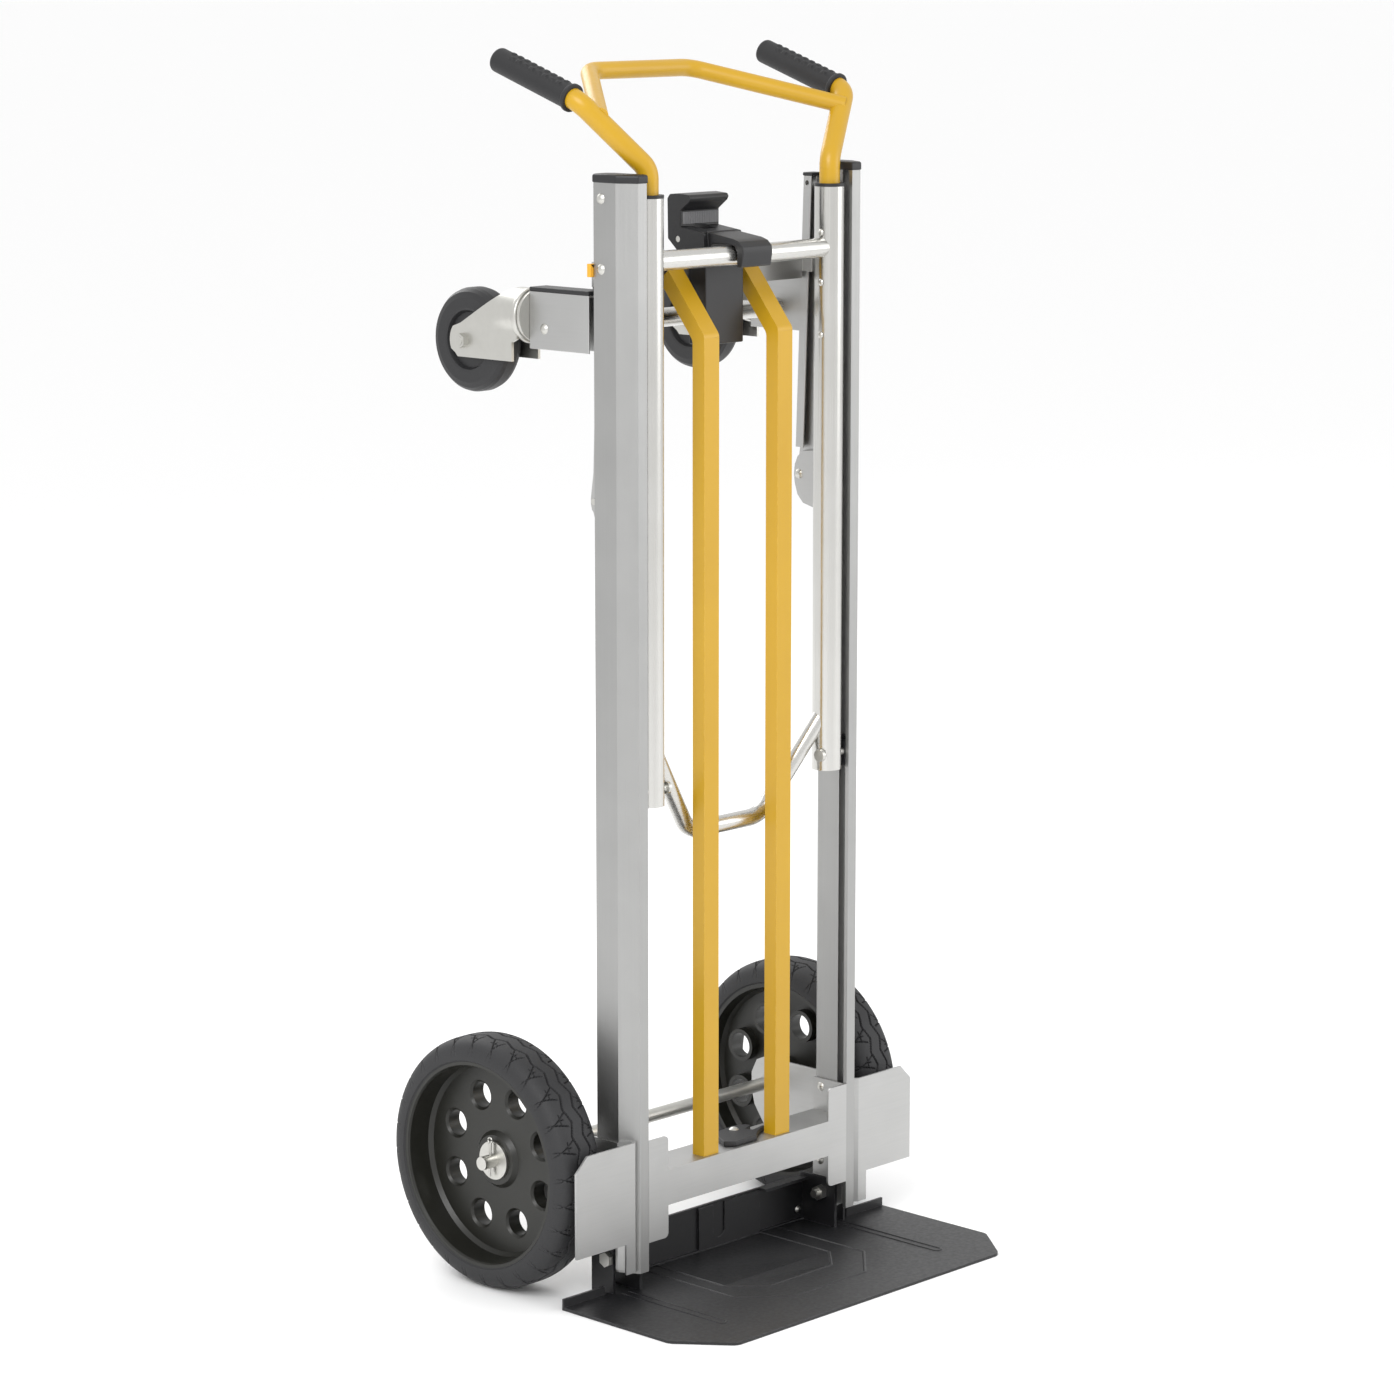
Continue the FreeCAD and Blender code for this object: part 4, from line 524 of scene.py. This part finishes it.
# %% Tread pattern
def triangle_wave(phase):
    """Rises and falls in straight lines between -1 and 1, once for each whole phase."""
    return 4 * abs((phase % 1) - 0.5) - 1


def groove(distance, half_width, softness=0.45):
    """1 at the middle of a groove, 0 outside it, with slightly sloped walls."""
    return min(1.0, max(0.0, (half_width - abs(distance)) / softness))


def wrap(repeats):
    """Bring a distance round the wheel, in repeats, to between -0.5 and 0.5."""
    return (repeats + 0.5) % 1 - 0.5


def cut_depth(phase, across):
    """How deep the tread is cut, in mm, at a phase of the repeat and a place across it."""
    own_phase = phase + (0.25 if across > 0 else -0.25)
    reach = abs(across)
    pitch = 2 * math.pi * WHEEL_RADIUS / TREAD_REPEATS
    zigzag = ZIGZAG_PLACE + ZIGZAG_SWING * triangle_wave(own_phase)
    cuts = [GROOVE_DEPTH * groove(reach - zigzag, ZIGZAG_HALF)]
    if reach > SIPE_FROM:
        lean = (reach - SIPE_FROM) / SIPE_SPAN
        for start, slant in SIPE_STARTS_AND_SLANTS:
            apart = wrap(own_phase - start - slant * lean) * pitch
            cuts.append(SIPE_DEPTH * groove(apart, SIPE_HALF))
    if BRANCH_FROM < reach < BRANCH_TO:
        apart = wrap(own_phase - BRANCH_PLACE) * pitch
        cuts.append(SIPE_DEPTH * groove(apart, BRANCH_HALF))
    if reach > BAR_FROM and abs(wrap(own_phase - BRANCH_PLACE)) < BAR_REACH:
        cuts.append(SIPE_DEPTH * groove(reach - BAR_ACROSS, BRANCH_HALF))
    return max(cuts)


def tyre_section():
    """Points round the casing as (across, radius, how much of the tread cut applies).

    The powers bunch the points at the shoulders and square the crown off before it drops.
    """
    half = TYRE_HALF
    points = []
    for step in range(CROWN_STEPS + 1):
        turn = math.pi * (step / CROWN_STEPS - 0.5)
        across = half * math.copysign(abs(math.sin(turn)) ** 0.92, math.sin(turn))
        drop = 1 - abs(across / half) ** 3.4
        radius = WHEEL_RADIUS - CASING_HEIGHT * (1 - max(drop, 0.0) ** 0.42)
        cut = min(1.0, max(0.0, (radius - WHEEL_RADIUS + CUT_FADES_AT) / CUT_FADES_OVER))
        points.append((across, radius, cut))
    lip = [(half - 0.6, RIM_RADIUS + 1.2, 0.0), (half - 1.6, RIM_RADIUS, 0.0)]
    under = [(-across, radius, cut) for across, radius, cut in reversed(lip)]
    return points + lip + under


# Painted shade: a near-black rubber for the faces deep inside the tread cuts stands in for the
# shade in the grooves.
GROOVE_PAINTED_SHADE = moulded("painted shade inside a tread cut", "#0B0B0C", "#101011", 0.8, 1.1, 0.04, 1.52)


def make_tyre(side, sign):
    """One casing with its tread cut in, and painted shade, a darker rubber, on the faces inside the
    cuts.
    """
    section = tyre_section()
    rings = TREAD_REPEATS * STEPS_PER_REPEAT
    vertices = []
    cuts = []
    for ring in range(rings):
        phase = ring / STEPS_PER_REPEAT
        turn = 2 * math.pi * ring / rings
        for across, radius, share in section:
            depth = cut_depth(phase, across) * share if share > 0 else 0.0
            cuts.append(depth)
            reach = (radius - depth) * MM
            vertices.append(
                (
                    sign * WHEEL_CENTRE.x + across * MM,
                    WHEEL_CENTRE.y + reach * math.cos(turn),
                    WHEEL_CENTRE.z + reach * math.sin(turn),
                )
            )
    faces = grid_faces(rings, len(section), close_rows=True, close_columns=True)
    name = f"tread_tyre_{side}"
    piece = make_piece(name, vertices, faces, "tyre_rubber", f"wheel_{side}", 28.0)
    piece.data.materials.append(GROOVE_PAINTED_SHADE)
    # Faces that lie deeper than CUT_SHADE in a cut take the painted shade.
    for face in piece.data.polygons:
        if min(cuts[corner] for corner in face.vertices) > CUT_SHADE:
            face.material_index = 1
    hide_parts(f"tyre_{side}")
    return piece


for side, sign in (("left", -1), ("right", 1)):
    tyre = make_tyre(side, sign)
    print(tyre.name, len(tyre.data.polygons), "faces")

# %% [markdown]
# ## Grips
# Each grip is a soft sleeve pulled over the bent leg. It has a rolled collar at the open end,
# a rounded closed end, and rows of small raised pads on top where the palm presses.

# %% Grip measurements
GRIP_RISE = 34.5
GRIP_RUN = 102.0
GRIP_TURN = math.atan2(GRIP_RISE, GRIP_RUN)
GRIP_START = 9.0
GRIP_ELBOW = Vector((0.178, 0.020, 1.117))
GRIP_ALONG = Vector((0.0, math.cos(GRIP_TURN), math.sin(GRIP_TURN)))
GRIP_LENGTH = 102.0
GRIP_RADIUS = 11.6
END_ROUND = 2.6
END_DROP = 1.3
COLLAR = [(0.0, 9.9), (0.0, 12.3), (0.8, 13.2), (3.0, 13.3), (4.4, 12.5), (5.2, GRIP_RADIUS)]
BODY_STEPS = 110
GRIP_SIDES = 96
PADS_FROM = 12.0
PADS_STOP_SHORT = 16.0
PAD_PITCH = 9.0
PAD_HALF_LENGTH = 2.6
PAD_HALF_WIDTH = 2.3
PAD_SLOPE = 0.7
PAD_ROWS = (-0.62, 0.0, 0.62)
print("grip leans", round(math.degrees(GRIP_TURN), 1), "degrees")


# %% Grip sleeves
def grip_outline():
    """Sleeve radius along its length, in mm: collar, body, rounded end."""
    points = list(COLLAR)
    collar_end = COLLAR[-1][0]
    body = GRIP_LENGTH - END_ROUND - collar_end
    for step in range(1, BODY_STEPS + 1):
        points.append((collar_end + body * step / BODY_STEPS, GRIP_RADIUS))
    for step in range(1, 9):
        turn = math.pi / 2 * step / 8
        drop = END_DROP * (1 - math.cos(turn))
        along = GRIP_LENGTH - END_ROUND + END_ROUND * math.sin(turn)
        points.append((along, GRIP_RADIUS - drop))
    points.append((GRIP_LENGTH, 3.0))
    points.append((GRIP_LENGTH, 0.02))
    return points


def pad_height(along, turn):
    """Raised pads, 1 mm high: staggered rounded blocks on the upper side of the grip."""
    if not PADS_FROM < along < GRIP_LENGTH - PADS_STOP_SHORT:
        return 0.0
    lift = 0.0
    for centre in PAD_ROWS:
        sideways = (turn - centre) * GRIP_RADIUS
        stagger = PAD_PITCH / 2 if centre == 0.0 else 0.0
        spot = (along - PADS_FROM + stagger) % PAD_PITCH - PAD_PITCH / 2
        edge = max(abs(spot) - PAD_HALF_LENGTH, abs(sideways) - PAD_HALF_WIDTH)
        lift = max(lift, min(1.0, max(0.0, -edge / PAD_SLOPE)))
    return lift


def make_grip(side, sign):
    """One sleeve, turned about the bent leg's own line."""
    outline = grip_outline()
    across = Vector((1.0, 0.0, 0.0))
    upward = GRIP_ALONG.cross(across) * -1
    start = GRIP_ELBOW + GRIP_ALONG * GRIP_START * MM
    vertices = []
    for along, radius in outline:
        for step in range(GRIP_SIDES):
            turn = 2 * math.pi * step / GRIP_SIDES
            signed = turn if turn <= math.pi else turn - 2 * math.pi
            reach = (radius + pad_height(along, signed)) * MM
            spot = start + GRIP_ALONG * along * MM
            spot = spot + (upward * math.cos(turn) + across * math.sin(turn)) * reach
            vertices.append((spot.x * sign, spot.y, spot.z))
    faces = grid_faces(len(outline), GRIP_SIDES, close_columns=True)
    piece = make_piece(f"soft_grip_{side}", vertices, faces, "grip_rubber", "handle", 35.0)
    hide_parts(f"grip_{side}")
    return piece


for side, sign in (("left", -1), ("right", 1)):
    print(make_grip(side, sign).name)

# %% [markdown]
# ## Caster forks
# Each fork is one pressing: a round cup that holds the ball race, then an arched roof whose
# sides drop into two flat cheeks round the wheel. The roof is cut on a slope so that the wheel
# can reach the ground, and the cheeks end in a rounded nose round the axle bolt.

# %% Fork measurements
RACE_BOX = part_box("caster_races")
FORK_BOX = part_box("caster_fork_right")
AXLE_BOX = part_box("caster_axle_right")
FORK_X = (FORK_BOX[0].x + FORK_BOX[1].x) / 2 / MM
FORK_FACE = FORK_BOX[0].y / MM
SWIVEL_HEIGHT = (RACE_BOX[0].z + RACE_BOX[1].z) / 2 / MM
AXLE_BACK = (AXLE_BOX[0].y + AXLE_BOX[1].y) / 2 / MM
AXLE_HEIGHT = (AXLE_BOX[0].z + AXLE_BOX[1].z) / 2 / MM
CHEEK_OUTER = 18.5
CHEEK_INNER = 15.6
ROOF_TOP = 25.4
CHEEK_LOW = -15.5
SIDE_STEPS = 14
ROOF_STEPS = 24
YOKE_START = 5.0
YOKE_STEPS = 18
SKIRT_BELOW = -24.0
SKIRT_SET_BACK = 7.0
NOSE_RADIUS = 19.0
SLOPE_ABOVE = 13.0
SLOPE = 1.74
FLARE_LENGTH = 34.0
FLARE_SHARE = 0.27
CUP_SIDES = 72
CUP = [
    (0.0, 8.0), (0.0, 24.6), (0.5, 25.6), (1.4, 26.0), (5.0, 26.0), (6.0, 25.4),
    (6.8, 23.6), (6.8, 19.0), (6.0, 8.0),
]
print("fork at", round(FORK_X, 1), "swivel", round(SWIVEL_HEIGHT, 1), "face", round(FORK_FACE, 1))


# %% Fork pressings
def yoke_section(half):
    """Half-round roof over straight sides, as (across, height above the swivel axis)."""
    low = AXLE_HEIGHT + CHEEK_LOW - SWIVEL_HEIGHT
    spring = ROOF_TOP - CHEEK_OUTER
    sides = [low + (spring - low) * step / SIDE_STEPS for step in range(SIDE_STEPS)]
    points = [(-half, height) for height in sides]
    for step in range(ROOF_STEPS + 1):
        turn = math.pi * (1 - step / ROOF_STEPS)
        points.append((half * math.cos(turn), spring + half * math.sin(turn)))
    points += [(half, height) for height in reversed(sides)]
    return points


def yoke_reach(height):
    """How far back the pressing goes at a height above the swivel axis."""
    above_axle = height + SWIVEL_HEIGHT - AXLE_HEIGHT
    if above_axle > SLOPE_ABOVE:
        return AXLE_BACK + 10.0 - (above_axle - SLOPE_ABOVE) * SLOPE
    lean = min(1.0, abs(above_axle) / 20.0)
    notch = 3.5 if above_axle < -10 else 0.0
    return AXLE_BACK + NOSE_RADIUS * math.sqrt(1 - lean**2) - notch


def flare(along, height):
    """How much wider the roof is near the cup, where it starts as wide as the race."""
    share = max(0.0, 1 - along / FLARE_LENGTH)
    above_crease = min(1.0, max(0.0, (height + 9.0) / 3.0))
    return 1 + FLARE_SHARE * share * above_crease


def yoke_skin(half):
    """Rows of points from the cup to the free edge, one row for each point of the section."""
    near = FORK_FACE + YOKE_START
    rows = []
    for across, height in yoke_section(half):
        far = yoke_reach(height)
        begin = near + (SKIRT_SET_BACK if height < SKIRT_BELOW else 0.0)
        row = []
        for step in range(YOKE_STEPS + 1):
            y = begin + (far - begin) * step / YOKE_STEPS
            row.append((across * flare(y - near, height), y, height))
        rows.append(row)
    return rows


def make_fork(side, sign):
    """The arched yoke, closed between its two skins, and the turned cup for the race."""
    outer = yoke_skin(CHEEK_OUTER)
    inner = yoke_skin(CHEEK_INNER)
    loops = [row + inner[number][::-1] for number, row in enumerate(outer)]
    columns = len(loops[0])
    points = [point for row in loops for point in row]
    faces = grid_faces(len(loops), columns, close_columns=True)
    faces.append(tuple(range(columns)))
    faces.append(tuple(range(len(points) - columns, len(points))))
    base = len(points)
    for along, radius in CUP:
        for step in range(CUP_SIDES):
            turn = 2 * math.pi * step / CUP_SIDES
            points.append(
                (radius * math.cos(turn), FORK_FACE + along, radius * math.sin(turn))
            )
    cup_faces = grid_faces(len(CUP), CUP_SIDES, close_rows=True, close_columns=True)
    faces += [tuple(base + corner for corner in face) for face in cup_faces]
    vertices = [
        (sign * (FORK_X + x) * MM, y * MM, (z + SWIVEL_HEIGHT) * MM) for x, y, z in points
    ]
    piece = make_piece(
        f"pressed_fork_{side}", vertices, faces, "zinc_steel", f"swivel_{side}", 40.0
    )
    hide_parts(f"caster_fork_{side}")
    return piece


for side, sign in (("left", -1), ("right", 1)):
    print(make_fork(side, sign).name)

# %% [markdown]
# ## Ribbed strip on the latch
# The grey strip under the thumb lip has fine upright ribs, so that a thumb finds it by feel.

# %% Ribbed strip
STRIP_LOW, STRIP_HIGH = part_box("latch_strip")
RIB_COUNT = 20
RIB_STEPS = 6
BACKING_SHARE = 0.35


def ribbed_strip():
    """A row of half-round ribs on a thin backing plate."""
    width = (STRIP_HIGH.x - STRIP_LOW.x) / RIB_COUNT
    depth = STRIP_HIGH.y - STRIP_LOW.y
    outline = []
    for rib in range(RIB_COUNT):
        for step in range(RIB_STEPS + 1):
            share = step / RIB_STEPS
            bulge = math.sin(math.pi * share)
            x = STRIP_LOW.x + width * (rib + share)
            outline.append((x, STRIP_HIGH.y - depth * (BACKING_SHARE + 0.65 * bulge)))
    outline += [(STRIP_HIGH.x, STRIP_HIGH.y), (STRIP_LOW.x, STRIP_HIGH.y)]
    points = [(x, y, z) for z in (STRIP_LOW.z, STRIP_HIGH.z) for x, y in outline]
    count = len(outline)
    faces = grid_faces(2, count, close_columns=True)
    faces.append(tuple(range(count)))
    faces.append(tuple(range(count, 2 * count)))
    piece = make_piece("ribbed_strip", points, faces, "grey_plastic", "latch", 50.0)
    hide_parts("latch_strip")
    return piece


print(ribbed_strip().name)

# %% [markdown]
# ## Bent wire
# The latch returns by a small torsion spring, wound round its hinge pin, and each wheel is kept
# on by a cotter pin pushed down through the axle.

# %% Spring and cotter pins
SPRING_LOW, SPRING_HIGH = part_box("latch_spring")
SPRING_WIRE = 0.7
SPRING_TURNS = 3
COIL_STEPS = 24
PINS_LOW, PINS_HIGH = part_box("cotter_pins")
COTTER_WIRE = 1.0
COTTER_EYE = 2.6


def spring_path():
    """A close coil round the hinge pin."""
    middle = (SPRING_LOW + SPRING_HIGH) / 2
    radius = (SPRING_HIGH.z - SPRING_LOW.z) / 2 - SPRING_WIRE * MM
    start = SPRING_LOW.x + SPRING_WIRE * MM
    length = SPRING_HIGH.x - SPRING_LOW.x - 2 * SPRING_WIRE * MM
    path = []
    steps = COIL_STEPS * SPRING_TURNS
    for step in range(steps + 1):
        turn = 2 * math.pi * SPRING_TURNS * step / steps
        offset = Vector((0.0, math.cos(turn), math.sin(turn))) * radius
        along = start + length * step / steps
        path.append(Vector((along, middle.y, middle.z)) + offset)
    return path


coil = wire_along("spring_coil", spring_path(), SPRING_WIRE, "zinc_steel", "frame")
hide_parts("latch_spring")


def cotter_path(sign):
    """Down one leg, round the eye at the top and down the other leg."""
    x = sign * (PINS_HIGH.x - 4.9 * MM)
    y = (PINS_LOW.y + PINS_HIGH.y) / 2
    leg = COTTER_WIRE * MM * 0.9
    eye = COTTER_EYE * MM
    top = PINS_HIGH.z - 3.8 * MM
    low = PINS_LOW.z + 1.5 * MM
    path = [Vector((x, y - leg, low)), Vector((x, y - leg, top - 3.0 * MM))]
    for step in range(17):
        turn = math.radians(-125 + 290 * step / 16)
        path.append(Vector((x, y + eye * math.sin(turn), top + eye * math.cos(turn))))
    path.append(Vector((x, y + leg, top - 3.0 * MM)))
    path.append(Vector((x, y + leg, low + 3.0 * MM)))
    return path


for side, sign in (("left", -1), ("right", 1)):
    pin = wire_along(
        f"cotter_wire_{side}", cotter_path(sign), COTTER_WIRE, "zinc_steel", "frame"
    )
    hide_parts("cotter_pins")
print("bent wire ready")

# %% [markdown]
# ## Stage, light and camera
# The truck stands on a plain pale floor in soft studio light: one wide key from the left, a
# weaker fill from the right, a light from behind for the edges, and a bright even sky so that
# bare metal has something pale to reflect.

# %% Floor
FLOOR_HALF = 300
floor_mesh = bpy.data.meshes.new("floor")
corners = [(FLOOR_HALF * x, FLOOR_HALF * y, 0) for x, y in ((-1, -1), (1, -1), (1, 1), (-1, 1))]
floor_mesh.from_pydata(corners, [], [(0, 1, 2, 3)])
floor = bpy.data.objects.new("floor", floor_mesh)
bpy.context.scene.collection.objects.link(floor)
floor_finish, _, floor_shader = start_material("pale studio floor", Roughness=0.85)
floor_shader.inputs["Base Color"].default_value = linear("#FCFCFC")
floor_mesh.materials.append(floor_finish)
print("floor laid")


# %% Lights
def soft_light(name, place, target, width, power):
    """A square area light that faces the target."""
    lamp = bpy.data.lights.new(name, "AREA")
    lamp.shape = "SQUARE"
    lamp.size = width
    lamp.energy = power
    holder = bpy.data.objects.new(name, lamp)
    holder.location = place
    holder.rotation_euler = (Vector(target) - Vector(place)).to_track_quat("-Z", "Y").to_euler()
    bpy.context.scene.collection.objects.link(holder)


MIDDLE = (0.0, 0.0, 0.6)
soft_light("key", (-2.6, -1.2, 2.6), MIDDLE, 1.8, 60)
soft_light("fill", (2.4, -2.8, 1.6), MIDDLE, 2.2, 28)
soft_light("rim", (0.6, 3.0, 2.6), MIDDLE, 2.0, 40)
sky = bpy.data.worlds.new("studio sky")
sky.use_nodes = True
backdrop = sky.node_tree.nodes["Background"]
backdrop.inputs["Color"].default_value = linear("#FFFFFF")
backdrop.inputs["Strength"].default_value = 1.0
bpy.context.scene.world = sky

# %% Camera
CAMERA_PLACE = Vector((-2.9163, -2.7468, 1.2830))
CAMERA_YAW = math.radians(46.252)
CAMERA_PITCH = math.radians(-10.324)
CAMERA_LENS = 110.975
eye = bpy.data.cameras.new("camera")
eye.lens = CAMERA_LENS
eye.sensor_width = 36.0
camera = bpy.data.objects.new("camera", eye)
camera.location = CAMERA_PLACE
camera.rotation_euler = (math.pi / 2 + CAMERA_PITCH, 0.0, -CAMERA_YAW)
bpy.context.scene.collection.objects.link(camera)
bpy.context.scene.camera = camera
bpy.context.scene.view_settings.view_transform = "Standard"
print("camera", [round(v, 2) for v in CAMERA_PLACE], "lens", CAMERA_LENS)
